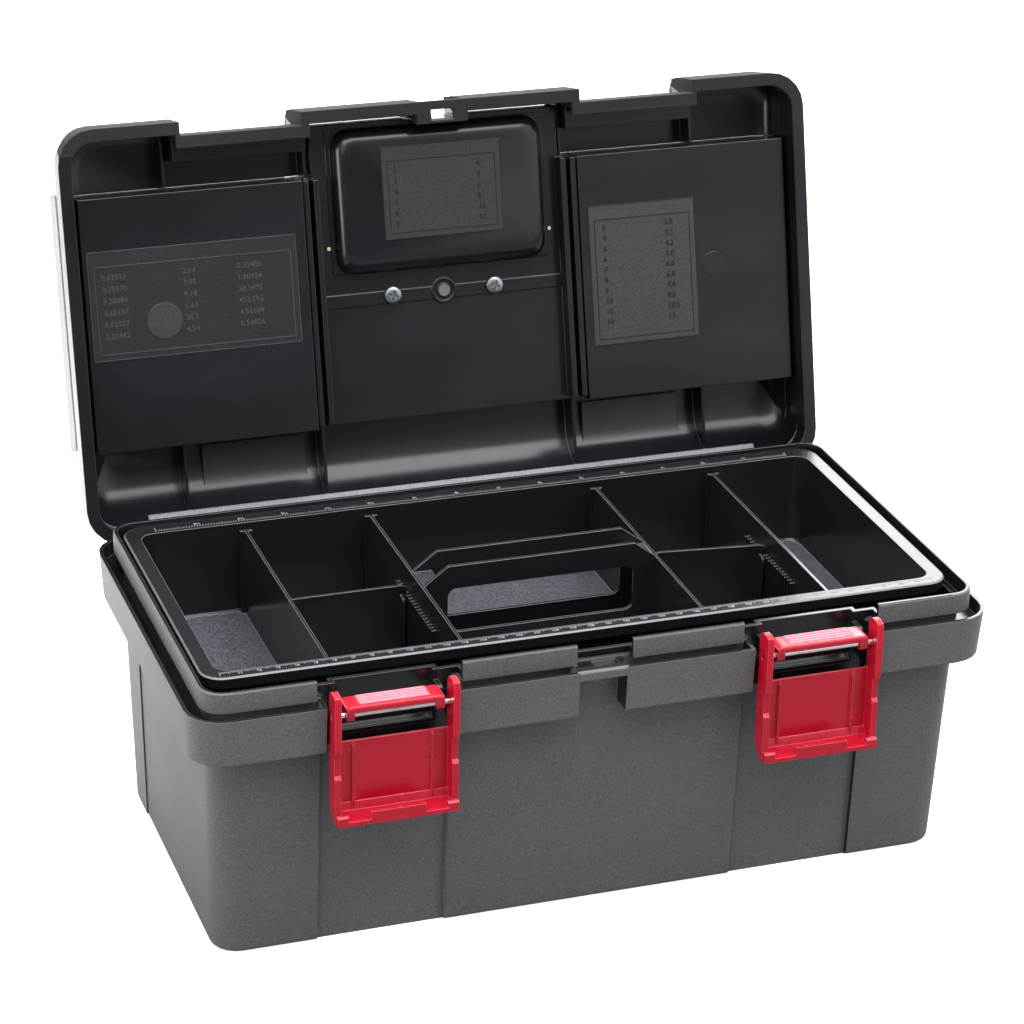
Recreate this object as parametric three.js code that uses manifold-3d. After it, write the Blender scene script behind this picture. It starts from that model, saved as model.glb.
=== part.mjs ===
// Toolbox with a lift-out tray, two draw latches, and a lid that carries two covered organisers.
// Millimetres, +Z up, X along the length, front at -Y, base centre at the origin.
// The lid is modelled shut and then turned open about its hinge line, where it leans on its stops.
import * as THREE from "three";
import { mergeVertices } from "three/addons/utils/BufferGeometryUtils.js";
import Module from "manifold-3d";

const wasm = await Module();
wasm.setup();

// ---------- driving dimensions ----------
const GAP = 0.3; // clearance between two pieces that touch
const WALL = 2.5; // moulded wall of the body and lid

// body tub
const BASE_X = 208; // half length at the base
const BASE_Y = 96; // half depth at the base
const TOP_X = 211.4; // half length at the shelf
const TOP_Y = 104.4; // half depth at the shelf
const SHELF_Z = 149.5; // underside of the shelf that the tray rests on
const SHELF_TOP = 152;
const TUB_TOP = 149.7; // just under the lid's lip
const TRAY_RIB_X = TOP_X - 6.4; // inner edge of the ribs under the tray's ends
const TRAY_RIB_BOTTOM = 88;
const END_STEP_Y = 58; // the back of each end wall stands out by END_STEP
const END_STEP = 0.8;
const TUB_CORNER = 15;
const BASE_ROUND = 3;
const FLOOR = 2.5;

// collar: the upstand that the lid closes over
const COLLAR_X = 215;
const COLLAR_Y = 109;
const COLLAR_TOP = 161;
const COLLAR_WALL = 2.4;
const COLLAR_CORNER = 13;
const LOW_RIM_TOP = 155; // rim in the latch bays and at the padlock

// band: the hollow rail round the body
const BAND_X = 223;
const BAND_Y = 117;
const BAND_TOP = 149;
const BAND_BOTTOM = 123;
const BAND_TAPER = 1.5;
const BAND_WALL = 2;
const BAND_CORNER = 20;
const WEB_BOTTOM = 138.5;
const WEB_TOP = 141;

// latch bays in the front
const BAY_MIN = 82.2;
const BAY_MAX = 152.8;
const BAY_DEPTH = 3.2;
const RIM_GAP_MIN = 78.3;
const RIM_GAP_MAX = 156;
const LINK_POCKET_Y = -97.5;
const LINK_POCKET_Z = 127;
const LINK_POCKET_HALF = 26.3;

// padlock seat
const LOCK_POCKET_LEFT = -16.5;
const LOCK_POCKET_RIGHT = 9.8;
const LOCK_RIM_HALF = 15.5;
const LOCK_RIM_Y = -103.8;
const LOCK_PLATE_BOTTOM = 144;
const LOCK_SLOT_HALF = 6.8;
const LOCK_SLOT_FRONT = -112;
const LOCK_SLOT_BACK = -105.9;

// lid hinge
const HINGE_Y = 116.3;
const HINGE_Z = 143.4;
const HINGE_X = 120;
const HINGE_HALF = 30;
const KNUCKLE_R = 4.8;
const LID_KNUCKLE_HALF = 14;
const KNUCKLE_SIDE_GAP = 0.6;
const PIN_R = 2;
const PIN_LENGTH = 57;
const LID_OPEN = 103.7; // degrees
const STOP_OVERHANG = 8; // how far the stop lugs stand out from the band
const STOP_REACH = BAND_Y + STOP_OVERHANG;

// lid
const LID_Z = 150; // plane of the lip
const LID_FLANGE_TOP = 162;
const LID_TOP = 190;
const LIP_X = 215.8;
const LIP_Y = 109.8;
const LID_STEP = 4.7; // how far the ends and back stand in above the flange
const FRONT_ROUND = 14;
const END_ROUND = 14;
const BACK_ROUND = 30;
const LID_FACE_Z = 159.2; // underside of the wells and of the hand pocket
const WELL_MIN = 85.5;
const WELL_MAX = 209.8;
const WELL_FRONT = -75;
const WELL_BACK = 63.7;
const WELL_WALL_TOP = LID_TOP - 1;
const VALLEY_HALF = 72;
const VALLEY_FRONT = -104;
const VALLEY_FLOOR = 172.5;
const POCKET_HALF = 60.5;
const POCKET_FRONT = -101;
const POCKET_BACK = -22.5;
const RAIL_BOTTOM = 160.2;
const NOTCH_MIN = 83.3;
const NOTCH_MAX = 153.3;
const NOTCH_Y = -109.3;
const NOTCH_LIP_Y = -101.9;
const NOTCH_DEEP_Y = -96; // the notch is deeper above NOTCH_DEEP_Z, for the lever's hook
const NOTCH_DEEP_Z = 166;
const LID_RIB_X = [77, 159.6]; // ribs that stiffen the lid in front of and behind the wells
const LID_RIB_Z = 173;
const LID_RIB = 1.6;
const STRIP = 0.5; // height of the strip and pad under the valley
const STRIP_FRONT = -8.7;
const STRIP_BACK = -1.3;
const PAD_BACK = -20.5;
const BULGE_ROUND = 8.5;
const LOCK_RECESS_HALF = 13;
const LOCK_RECESS_Y = -105.9;
const LOCK_RECESS_WALL = 1.7;
const LOCK_RECESS_FLOOR = 153;

// latches
const LATCH_X = 118.2;
const LINK_PIVOT_Y = -106.8;
const LINK_PIVOT_Z = 146;
const ROD_Y = -119.5;
const ROD_Z = 145.5;
const ROD_R = 1.5;
const LEVER_HALF = 33.2;
const LEVER_ARM = 3.4;
const LINK_HALF = 26.1;
const LINK_LEG = 2.5;
const STUB_R = 1.4;
const LUG_INNER = 26.5;
const LUG_OUTER = 29.1;
const LUG_R = 3;

// tray
const TRAY_X = 209.4;
const TRAY_FRONT = -87.2;
const TRAY_BACK = 106.2;
const TRAY_TOP = 158.5;
const TRAY_OPEN_X = 201;
const TRAY_OPEN_FRONT = -79.4;
const TRAY_OPEN_BACK = 95.2;
const TRAY_WALL = 1.8;
const TRAY_FLOOR = 105;
const TRAY_DRAFT = 2.3;
const TRAY_CROSS = [-141, -68, 68, 141];
const TRAY_CROSS_TOP = 156;
const CROSS_END = 4.6; // from the end flange of a cross wall to the tray's back edge
const CROSS_FOOT = 1.1; // half thickness of a cross wall at the floor
const CROSS_HEAD = 0.8;
const RACK_FRONT = -33.3; // rows of teeth that hold the dividers
const RACK_PITCH = 3.8;
const RACK_ROWS = 18;
const RACK_DEPTH = 2;
const RACK_TOOTH = 1.4;
const RACK_TOP = 142;
const DIVIDER_LEFT_Y = RACK_FRONT + 12.5 * RACK_PITCH;
const DIVIDER_RIGHT_Y = RACK_FRONT + 10.5 * RACK_PITCH;
const DIVIDER_HALF = 33.95;
const DIVIDER_TALL = 42.4;
const DIVIDER_THICK = 1.6;
const DIVIDER_TILT = 3.4; // degrees: the right divider has ridden up at one end
const DIVIDER_FLANGE_HALF = 6.5;
const DIVIDER_FLANGE_IN = 2.4;
const DIVIDER_FLANGE_TALL = 36.7;
const TRAY_HANDLE_Y = [-8, 12.5];
const TRAY_HANDLE_TOP = 166.5;
const TRAY_HANDLE_HALF = 54;
const TRAY_WINDOW_BOTTOM = 126.5;
const TRAY_WINDOW_TOP = 153;

// carry handle
const HANDLE_Y = -35;
const HANDLE_Z = 177;
const HANDLE_OUTER = VALLEY_HALF - 12;
const HANDLE_LEG = 7;
const HANDLE_REACH = 64.5;
const HANDLE_GRIP = 17;
const HANDLE_THICK = 7.6;
const HANDLE_REST = 13.7; // degrees above the lid top when it hangs from the open lid
const EAR_OUTER = VALLEY_HALF - 7;
const EAR_INNER = EAR_OUTER - 3.5;
const SCREW_X = 31;
const SCREW_Y = -6;

// organiser covers
const COVER_HINGE_X = 80;
const COVER_HINGE_Z = LID_TOP + 3.2;
const COVER_BARREL_R = 2.3;
const COVER_STUB_R = 1.3;
const COVER_POST_HALF = 4;
const COVER_LIP = 3.5; // edge of a cover that hooks over the lid's end
const COVER_OUTER = BAND_X - LID_STEP + 0.4 + COVER_LIP;
const COVER_FRONT = -79;
const COVER_BACK = 68;
const COVER_THICK = 2;

const CORNER_STEPS = 5;
const SLIVER = 0.004; // faces thinner than this are merged into their neighbours
const RIGHT = 1;
const LEFT = -1;

// ---------- solids ----------
function solid(geometry) {
  const bare = new THREE.BufferGeometry();
  bare.setAttribute("position", geometry.getAttribute("position"));
  if (geometry.index) bare.setIndex(geometry.index);
  const merged = mergeVertices(bare, 1e-4);
  const shape = new wasm.Mesh({
    numProp: 3,
    vertProperties: new Float32Array(merged.attributes.position.array),
    triVerts: new Uint32Array(merged.index.array),
  });
  return new wasm.Manifold(shape);
}

function join(...solids) {
  return solids.flat().reduce((a, b) => a.add(b));
}

function cut(body, ...tools) {
  return tools.flat().reduce((a, b) => a.subtract(b), body);
}

// A box between two corners, given in any order.
function box(xa, xb, ya, yb, za, zb) {
  const geometry = new THREE.BoxGeometry(Math.abs(xb - xa), Math.abs(yb - ya), Math.abs(zb - za));
  geometry.translate((xa + xb) / 2, (ya + yb) / 2, (za + zb) / 2);
  return solid(geometry);
}

function extruded(points, length) {
  const shape = new THREE.Shape(points.map(([a, b]) => new THREE.Vector2(a, b)));
  return new THREE.ExtrudeGeometry(shape, { depth: length, bevelEnabled: false, curveSegments: 12 });
}

// An outline in the Y-Z plane, drawn out along X.
function prismX(points, xa, xb) {
  const low = Math.min(xa, xb);
  const geometry = extruded(points, Math.abs(xb - xa));
  const turn = new THREE.Matrix4().set(0, 0, 1, low, 1, 0, 0, 0, 0, 1, 0, 0, 0, 0, 0, 1);
  geometry.applyMatrix4(turn);
  return solid(geometry);
}

// An outline in the X-Z plane, drawn out along Y.
function prismY(points, ya, yb) {
  const high = Math.max(ya, yb);
  const geometry = extruded(points, Math.abs(yb - ya));
  const turn = new THREE.Matrix4().set(1, 0, 0, 0, 0, 0, -1, high, 0, 1, 0, 0, 0, 0, 0, 1);
  geometry.applyMatrix4(turn);
  return solid(geometry);
}

// An outline in the X-Y plane, drawn up along Z.
function prismZ(points, za, zb) {
  const geometry = extruded(points, Math.abs(zb - za));
  geometry.translate(0, 0, Math.min(za, zb));
  return solid(geometry);
}

function rodX(xa, xb, y, z, radius, sides = 20) {
  const geometry = new THREE.CylinderGeometry(radius, radius, Math.abs(xb - xa), sides);
  geometry.rotateZ(Math.PI / 2);
  geometry.translate((xa + xb) / 2, y, z);
  return solid(geometry);
}

function rodY(ya, yb, x, z, radius, sides = 16) {
  const geometry = new THREE.CylinderGeometry(radius, radius, Math.abs(yb - ya), sides);
  geometry.translate(x, (ya + yb) / 2, z);
  return solid(geometry);
}

// A turned shape on a vertical axis, from its half section.
function turned(section, x, y, sides = 24) {
  const profile = section.map(([r, z]) => new THREE.Vector2(r, z));
  const geometry = new THREE.LatheGeometry(profile, sides);
  geometry.rotateX(Math.PI / 2);
  geometry.translate(x, y, 0);
  return solid(geometry);
}

// A level rounded rectangle, anticlockwise from above.
function ring(x0, x1, y0, y1, radius, z) {
  const centres = [
    [x1 - radius, y1 - radius, 0],
    [x0 + radius, y1 - radius, 90],
    [x0 + radius, y0 + radius, 180],
    [x1 - radius, y0 + radius, 270],
  ];
  const points = [];
  for (const [cx, cy, start] of centres)
    for (let i = 0; i <= CORNER_STEPS; i += 1) {
      const angle = THREE.MathUtils.degToRad(start + (90 * i) / CORNER_STEPS);
      points.push([cx + radius * Math.cos(angle), cy + radius * Math.sin(angle), z]);
    }
  return points;
}

// A closed skin through level rings, lowest first.
function loft(rings) {
  const count = rings[0].length;
  const index = [];
  for (let k = 0; k + 1 < rings.length; k += 1)
    for (let i = 0; i < count; i += 1) {
      const a = k * count + i;
      const b = k * count + ((i + 1) % count);
      index.push(a, b, b + count, a, b + count, a + count);
    }
  const last = (rings.length - 1) * count;
  for (let i = 1; i + 1 < count; i += 1) {
    index.push(0, i + 1, i);
    index.push(last, last + i, last + i + 1);
  }
  const geometry = new THREE.BufferGeometry();
  geometry.setAttribute("position", new THREE.Float32BufferAttribute(rings.flat(2), 3));
  geometry.setIndex(index);
  return solid(geometry);
}

// A rounded slab centred on the origin.
function slab(halfX, halfY, radius, za, zb) {
  return loft([
    ring(-halfX, halfX, -halfY, halfY, radius, za),
    ring(-halfX, halfX, -halfY, halfY, radius, zb),
  ]);
}

function asMesh(name, made, material, matrix) {
  const data = made.asOriginal().simplify(SLIVER).getMesh();
  const geometry = new THREE.BufferGeometry();
  geometry.setAttribute("position", new THREE.Float32BufferAttribute(data.vertProperties, 3));
  geometry.setIndex(new THREE.BufferAttribute(data.triVerts, 1));
  if (matrix) geometry.applyMatrix4(matrix);
  geometry.computeVertexNormals();
  const mesh = new THREE.Mesh(geometry, material);
  mesh.name = name;
  return mesh;
}

// ---------- materials ----------
function blackPlastic() {
  return new THREE.MeshStandardMaterial({ color: 0x24262a, roughness: 0.45 });
}

function redPlastic() {
  return new THREE.MeshStandardMaterial({ color: 0xc5283f, roughness: 0.35 });
}

function steel() {
  return new THREE.MeshStandardMaterial({ color: 0xb9bcc0, roughness: 0.25, metalness: 1 });
}

function clearPlastic() {
  const look = { color: 0xdfe3e6, roughness: 0.12, transparent: true, opacity: 0.4 };
  return new THREE.MeshStandardMaterial(look);
}

// ---------- body ----------
function wallX(z) {
  return BASE_X + ((TOP_X - BASE_X) * z) / SHELF_Z;
}

function wallY(z) {
  return BASE_Y + ((TOP_Y - BASE_Y) * z) / SHELF_Z;
}

function tubRing(z, inset) {
  const x = wallX(z) - inset;
  const y = wallY(z) - inset;
  return ring(-x, x, -y, y, TUB_CORNER - Math.min(inset, 4), z);
}

function tubOutside() {
  const rings = [];
  for (const angle of [0, 30, 60, 90]) {
    const a = THREE.MathUtils.degToRad(angle);
    rings.push(tubRing(BASE_ROUND * (1 - Math.cos(a)), BASE_ROUND * (1 - Math.sin(a))));
  }
  rings.push(tubRing(TUB_TOP, 0));
  return loft(rings);
}

function tubInside() {
  return loft([tubRing(FLOOR, WALL + 2), tubRing(FLOOR + 2, WALL), tubRing(SHELF_TOP + 1, WALL)]);
}

// The front wall steps back by BAY_DEPTH behind each latch, at its full thickness.
function bayFace(z) {
  return BAY_DEPTH - wallY(z);
}

function bayBacking(side) {
  const top = TUB_TOP;
  const outline = [
    [bayFace(1) - 1, 1],
    [bayFace(1) + WALL, 1],
    [bayFace(top) + WALL, top],
    [bayFace(top) - 1, top],
  ];
  return prismX(outline, side * (BAY_MIN - WALL), side * (BAY_MAX + WALL));
}

function bayCut(side) {
  const top = SHELF_TOP + 4;
  const outline = [
    [-BAND_Y - 5, -1],
    [bayFace(-1), -1],
    [bayFace(top), top],
    [-BAND_Y - 5, top],
  ];
  return prismX(outline, side * BAY_MIN, side * BAY_MAX);
}

// A deeper pocket behind each latch link.
function linkPocketBacking(side) {
  const half = LINK_POCKET_HALF + WALL;
  const low = LINK_POCKET_Z - WALL;
  const front = bayFace(LOW_RIM_TOP) + 0.5;
  return box(side * (LATCH_X - half), side * (LATCH_X + half), front, LINK_POCKET_Y + WALL, low, LOW_RIM_TOP);
}

function linkPocketCut(side) {
  const half = LINK_POCKET_HALF;
  const outline = [
    [-BAND_Y, LINK_POCKET_Z],
    [LINK_POCKET_Y - 2, LINK_POCKET_Z],
    [LINK_POCKET_Y, LINK_POCKET_Z + 2],
    [LINK_POCKET_Y, COLLAR_TOP],
    [-BAND_Y, COLLAR_TOP],
  ];
  return prismX(outline, side * (LATCH_X - half), side * (LATCH_X + half));
}

// The low rim that closes the gap in the collar behind a latch.
function bayRim(side) {
  const face = bayFace(SHELF_Z);
  const back = face + WALL;
  return join(
    box(side * (RIM_GAP_MIN - 2), side * (RIM_GAP_MAX + 2), face, back, SHELF_Z, LOW_RIM_TOP),
    box(side * (RIM_GAP_MIN - 2), side * RIM_GAP_MIN, -COLLAR_Y + 1, back, SHELF_Z, LOW_RIM_TOP),
    box(side * RIM_GAP_MAX, side * (RIM_GAP_MAX + 2), -COLLAR_Y + 1, back, SHELF_Z, LOW_RIM_TOP),
    box(side * (RIM_GAP_MIN - 2), side * (BAY_MIN + 1), -TOP_Y + 1.5, back, SHELF_Z - 2, TUB_TOP),
    box(side * (BAY_MAX - 1), side * (RIM_GAP_MAX + 2), -TOP_Y + 1.5, back, SHELF_Z - 2, TUB_TOP),
  );
}

function lockRim() {
  const half = LOCK_RIM_HALF;
  const back = LOCK_RIM_Y + WALL;
  return join(
    box(-half - 2, half + 2, LOCK_RIM_Y, back, SHELF_Z - 1, LOW_RIM_TOP),
    box(-half - 2, -half, -COLLAR_Y + 1, back, SHELF_Z, LOW_RIM_TOP),
    box(half, half + 2, -COLLAR_Y + 1, back, SHELF_Z, LOW_RIM_TOP),
  );
}

function collar() {
  const soft = 0.7;
  const outside = loft([
    ring(-COLLAR_X, COLLAR_X, -COLLAR_Y, COLLAR_Y, COLLAR_CORNER, SHELF_Z),
    ring(-COLLAR_X, COLLAR_X, -COLLAR_Y, COLLAR_Y, COLLAR_CORNER, COLLAR_TOP - soft),
    ring(-COLLAR_X + soft, COLLAR_X - soft, -COLLAR_Y + soft, COLLAR_Y - soft, COLLAR_CORNER - soft, COLLAR_TOP),
  ]);
  const innerX = COLLAR_X - COLLAR_WALL;
  const innerY = COLLAR_Y - COLLAR_WALL;
  const inner = slab(innerX, innerY, COLLAR_CORNER - COLLAR_WALL, SHELF_TOP, COLLAR_TOP + 1);
  const gaps = [
    box(RIM_GAP_MIN, RIM_GAP_MAX, -BAND_Y, -COLLAR_Y + 10, SHELF_Z - 1, COLLAR_TOP + 1),
    box(-RIM_GAP_MAX, -RIM_GAP_MIN, -BAND_Y, -COLLAR_Y + 10, SHELF_Z - 1, COLLAR_TOP + 1),
    box(-LOCK_RIM_HALF, LOCK_RIM_HALF, -BAND_Y, -COLLAR_Y + 10, SHELF_Z - 1, COLLAR_TOP + 1),
  ];
  return cut(outside, inner, gaps);
}

function bandOutside() {
  const low = BAND_TAPER;
  return loft([
    ring(-BAND_X + low, BAND_X - low, -BAND_Y + low, BAND_Y - low, BAND_CORNER, BAND_BOTTOM),
    ring(-BAND_X, BAND_X, -BAND_Y, BAND_Y, BAND_CORNER, BAND_TOP),
  ]);
}

function bandInside() {
  const low = BAND_TAPER + BAND_WALL;
  const high = BAND_WALL;
  const corner = BAND_CORNER - BAND_WALL;
  return loft([
    ring(-BAND_X + low, BAND_X - low, -BAND_Y + low, BAND_Y - low, corner, BAND_BOTTOM - 0.5),
    ring(-BAND_X + high, BAND_X - high, -BAND_Y + high, BAND_Y - high, corner, BAND_TOP + 0.5),
  ]);
}

// End walls and stiffening ribs that join the rail to the body.
function bandRibs() {
  const front = [-152.8, -80.2, -16.5, 11.8, 82.2, 154.8];
  const ribs = front.map((x) => box(x - 2, x, -BAND_Y - 2, -TOP_Y + 2, BAND_BOTTOM, BAND_TOP));
  const low = BAND_BOTTOM + 2;
  const hidden = [-180, -45, 45, 180].map((x) => box(x - 1, x + 1, -BAND_Y + 1, -TOP_Y + 2, low, WEB_TOP));
  const rear = [-180, -60, 0, 60, 180].map((x) => box(x - 1, x + 1, TOP_Y - 2, BAND_Y - 1, low, WEB_TOP));
  return join(ribs, hidden, rear);
}

function band() {
  const outside = bandOutside();
  const rail = cut(outside, bandInside());
  const web = slab(BAND_X - 1.9, BAND_Y - 1.9, BAND_CORNER - 1, WEB_BOTTOM, WEB_TOP);
  const gaps = [
    box(BAY_MIN, BAY_MAX, -BAND_Y - 1, -TOP_Y + 8, BAND_BOTTOM - 1, BAND_TOP + 1),
    box(-BAY_MAX, -BAY_MIN, -BAND_Y - 1, -TOP_Y + 8, BAND_BOTTOM - 1, BAND_TOP + 1),
    box(LOCK_POCKET_LEFT, LOCK_POCKET_RIGHT, -BAND_Y - 1, -TOP_Y + 8, BAND_BOTTOM - 1, BAND_TOP + 1),
  ];
  const ribs = bandRibs().intersect(outside);
  return join(cut(join(rail, web), gaps), ribs);
}

function lockPlate() {
  const left = LOCK_POCKET_LEFT - 1;
  const right = LOCK_POCKET_RIGHT + 1;
  const outline = [
    [-TOP_Y + 1, LOCK_PLATE_BOTTOM],
    [-TOP_Y + 1, SHELF_Z],
    [-BAND_Y + 1.5, SHELF_Z],
    [-BAND_Y + 0.2, SHELF_Z - 1.2],
    [-BAND_Y + 0.3, LOCK_PLATE_BOTTOM],
  ];
  const half = LOCK_SLOT_HALF;
  const slot = box(-half, half, LOCK_SLOT_FRONT, LOCK_SLOT_BACK, LOCK_PLATE_BOTTOM - 1, SHELF_Z + 1);
  return cut(prismX(outline, left, right), slot);
}

// The two lugs that carry a latch link, at the sides of its pocket.
function latchLugs(side) {
  const outline = [[-TOP_Y + 4.5, LINK_PIVOT_Z + LUG_R]];
  for (let i = 0; i <= 8; i += 1) {
    const angle = THREE.MathUtils.degToRad(90 + (180 * i) / 8);
    outline.push([LINK_PIVOT_Y + LUG_R * Math.cos(angle), LINK_PIVOT_Z + LUG_R * Math.sin(angle)]);
  }
  outline.push([-TOP_Y + 4.5, LINK_PIVOT_Z - 9]);
  const centre = side * LATCH_X;
  const lugs = [-1, 1].map((s) => prismX(outline, centre + s * LUG_INNER, centre + s * LUG_OUTER));
  const past = LUG_OUTER + 1;
  const bore = rodX(centre - past, centre + past, LINK_PIVOT_Y, LINK_PIVOT_Z, STUB_R + 0.2, 16);
  return cut(join(lugs), bore);
}

function hingeKnuckles(side) {
  const centre = side * HINGE_X;
  const inner = LID_KNUCKLE_HALF + KNUCKLE_SIDE_GAP;
  return join(
    rodX(centre - HINGE_HALF, centre - inner, HINGE_Y, HINGE_Z, KNUCKLE_R),
    rodX(centre + inner, centre + HINGE_HALF, HINGE_Y, HINGE_Z, KNUCKLE_R),
  );
}

function hingeRoom(side) {
  const centre = side * HINGE_X;
  const half = LID_KNUCKLE_HALF + KNUCKLE_SIDE_GAP;
  return box(centre - half, centre + half, COLLAR_Y + 1.2, STOP_REACH + 1, HINGE_Z - KNUCKLE_R - 0.8, LID_Z);
}

function hingeBore(side) {
  const centre = side * HINGE_X;
  return rodX(centre - HINGE_HALF - 1, centre + HINGE_HALF + 1, HINGE_Y, HINGE_Z, PIN_R + GAP, 16);
}

// The lugs the open lid leans on: their tops lie in the plane of its back wall.
function stopLug(centre) {
  const slope = Math.tan(THREE.MathUtils.degToRad(LID_OPEN - 90));
  const touch = openPoint(BAND_Y, LID_Z);
  const z = (y) => touch.z - GAP - (y - touch.y) * slope;
  const outline = [
    [BAND_Y - 1, z(STOP_REACH) - 9],
    [BAND_Y + 0.5, z(STOP_REACH) - 9],
    [STOP_REACH, z(STOP_REACH) - 2],
    [STOP_REACH, z(STOP_REACH)],
    [touch.y - 1, z(touch.y - 1)],
    [BAND_Y - 1, z(touch.y - 1)],
  ];
  return prismX(outline, centre - 9, centre + 9);
}

// Ribs inside the ends that carry the tray.
function trayRibs() {
  const ribs = [];
  for (const side of [LEFT, RIGHT])
    for (const y of [-60, 5, 70]) {
      const wall = side * (wallX(TRAY_RIB_BOTTOM) - 1);
      const outline = [
        [wall, TRAY_RIB_BOTTOM],
        [side * (TRAY_RIB_X + 0.5), TRAY_RIB_BOTTOM + 12],
        [side * TRAY_RIB_X, SHELF_TOP],
        [side * (TOP_X - 0.5), SHELF_TOP],
      ];
      ribs.push(prismY(side > 0 ? outline : outline.reverse(), y - 1.5, y + 1.5));
    }
  return join(ribs);
}

// The rear part of each end wall stands out a little.
function endSteps() {
  const rings = [BASE_ROUND, BAND_BOTTOM + 1].map((z) => {
    const x = wallX(z) + END_STEP;
    const y = wallY(z);
    return ring(-x, x, -y, y, TUB_CORNER, z);
  });
  return loft(rings).intersect(box(-BAND_X, BAND_X, END_STEP_Y, BAND_Y, 0, BAND_TOP));
}

// Two shallow panels in the underside, with a land between them.
function baseRecess(side) {
  const x = [side * 30, side * 172].sort((a, b) => a - b);
  return loft([ring(x[0], x[1], -64, 64, 10, -1), ring(x[0], x[1], -64, 64, 10, 0.8)]);
}

function bodyShell() {
  let shell = cut(join(tubOutside(), endSteps()), tubInside());
  shell = join(shell, bayBacking(LEFT), bayBacking(RIGHT));
  shell = cut(shell, bayCut(LEFT), bayCut(RIGHT));
  const open = tubInside();
  const upper = cut(join(collar(), band()), open.subtract(join(bayBacking(LEFT), bayBacking(RIGHT))));
  shell = join(shell, upper, bayRim(LEFT), bayRim(RIGHT), lockRim(), lockPlate(), trayRibs());
  shell = join(shell, linkPocketBacking(LEFT), linkPocketBacking(RIGHT));
  shell = cut(shell, linkPocketCut(LEFT), linkPocketCut(RIGHT));
  shell = join(shell, latchLugs(LEFT), latchLugs(RIGHT));
  shell = join(shell, hingeKnuckles(LEFT), hingeKnuckles(RIGHT));
  shell = join(shell, stopLug(-172), stopLug(-40), stopLug(40), stopLug(172));
  shell = cut(shell, hingeRoom(LEFT), hingeRoom(RIGHT), hingeBore(LEFT), hingeBore(RIGHT));
  return cut(shell, baseRecess(LEFT), baseRecess(RIGHT));
}

// ---------- lid ----------
// Where a point of the shut lid lies once the lid is open.
function openPoint(y, z) {
  const angle = THREE.MathUtils.degToRad(LID_OPEN);
  const dy = y - HINGE_Y;
  const dz = z - HINGE_Z;
  return {
    y: HINGE_Y + dy * Math.cos(angle) + dz * Math.sin(angle),
    z: HINGE_Z - dy * Math.sin(angle) + dz * Math.cos(angle),
  };
}

function lidTurn() {
  const turn = new THREE.Matrix4().makeTranslation(0, HINGE_Y, HINGE_Z);
  turn.multiply(new THREE.Matrix4().makeRotationX(-THREE.MathUtils.degToRad(LID_OPEN)));
  return turn.multiply(new THREE.Matrix4().makeTranslation(0, -HINGE_Y, -HINGE_Z));
}

// How far a rounded edge of this radius has drawn in at height z, under a top at topZ.
function drawIn(radius, z, topZ) {
  const rise = z - (topZ - radius);
  if (rise <= 0) return 0;
  return radius - Math.sqrt(Math.max(0, radius * radius - rise * rise));
}

function crownRing(inset, z, topZ) {
  const end = drawIn(END_ROUND - inset, z, topZ);
  const front = drawIn(FRONT_ROUND - inset, z, topZ);
  const back = drawIn(BACK_ROUND - inset, z, topZ);
  const x = BAND_X - LID_STEP - inset - end;
  return ring(-x, x, -BAND_Y + inset + front, BAND_Y - LID_STEP - inset - back, 17 - inset, z);
}

function crown(inset, topZ, startZ) {
  const heights = [startZ, topZ - 30, topZ - 22, topZ - 14, topZ - 9.5, topZ - 5.5, topZ - 2.6, topZ - 0.8, topZ];
  return loft(heights.map((z) => crownRing(inset, z, topZ)));
}

function lidFlange() {
  return slab(BAND_X, BAND_Y, BAND_CORNER, LID_Z, LID_FLANGE_TOP);
}

function lidHollow() {
  const low = slab(LIP_X, LIP_Y, COLLAR_CORNER + 0.8, LID_Z - 1, LID_FLANGE_TOP + 0.1);
  const high = crown(WALL, LID_TOP - WALL, LID_FLANGE_TOP);
  return join(low, high);
}

// The block that each well is sunk in, and the square edge above it that the cover closes on.
function wellBlock(side) {
  const front = WELL_FRONT - WALL;
  const back = WELL_BACK + WALL;
  const inner = side * (WELL_MIN - WALL);
  return join(
    box(inner, side * (WELL_MAX + WALL), front, back, LID_FACE_Z, LID_TOP),
    box(side * WELL_MAX, side * (BAND_X - LID_STEP), front, back, LID_TOP - 10, LID_TOP),
  );
}

function wellHollow(side) {
  const floor = LID_FACE_Z + WALL;
  const x = [side * WELL_MIN, side * WELL_MAX].sort((a, b) => a - b);
  return loft([
    ring(x[0] + 1.5, x[1] - 1.5, WELL_FRONT + 1.5, WELL_BACK - 1.5, 4, floor),
    ring(x[0], x[1], WELL_FRONT, WELL_BACK, 5, floor + 2),
    ring(x[0], x[1], WELL_FRONT, WELL_BACK, 5, LID_TOP + 1),
  ]);
}

// Walls that part each well into six compartments.
function wellWalls(side) {
  const low = LID_FACE_Z + 1;
  return join(
    box(side * WELL_MIN, side * WELL_MAX, -6.6, -4.8, low, WELL_WALL_TOP),
    box(side * 127.5, side * 129.3, WELL_FRONT, WELL_BACK, low, WELL_WALL_TOP),
    box(side * 170, side * 171.8, WELL_FRONT, WELL_BACK, low, WELL_WALL_TOP),
  );
}

function rails(side) {
  const bottom = VALLEY_FLOOR - 1;
  return join(
    box(side * 73, side * 76, -77, 64, RAIL_BOTTOM, LID_TOP - 1),
    box(side * 79, side * 82, -77, 64, RAIL_BOTTOM, LID_TOP - 1),
    box(side * 75, side * 80, -77, -75, bottom, LID_TOP - 1),
    box(side * 75, side * 80, 62, 64, bottom, LID_TOP - 1),
  );
}

function valleyBlock() {
  const half = VALLEY_HALF + WALL;
  return box(-half, half, VALLEY_FRONT - WALL, WELL_BACK + WALL, VALLEY_FLOOR - WALL, LID_TOP);
}

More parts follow.
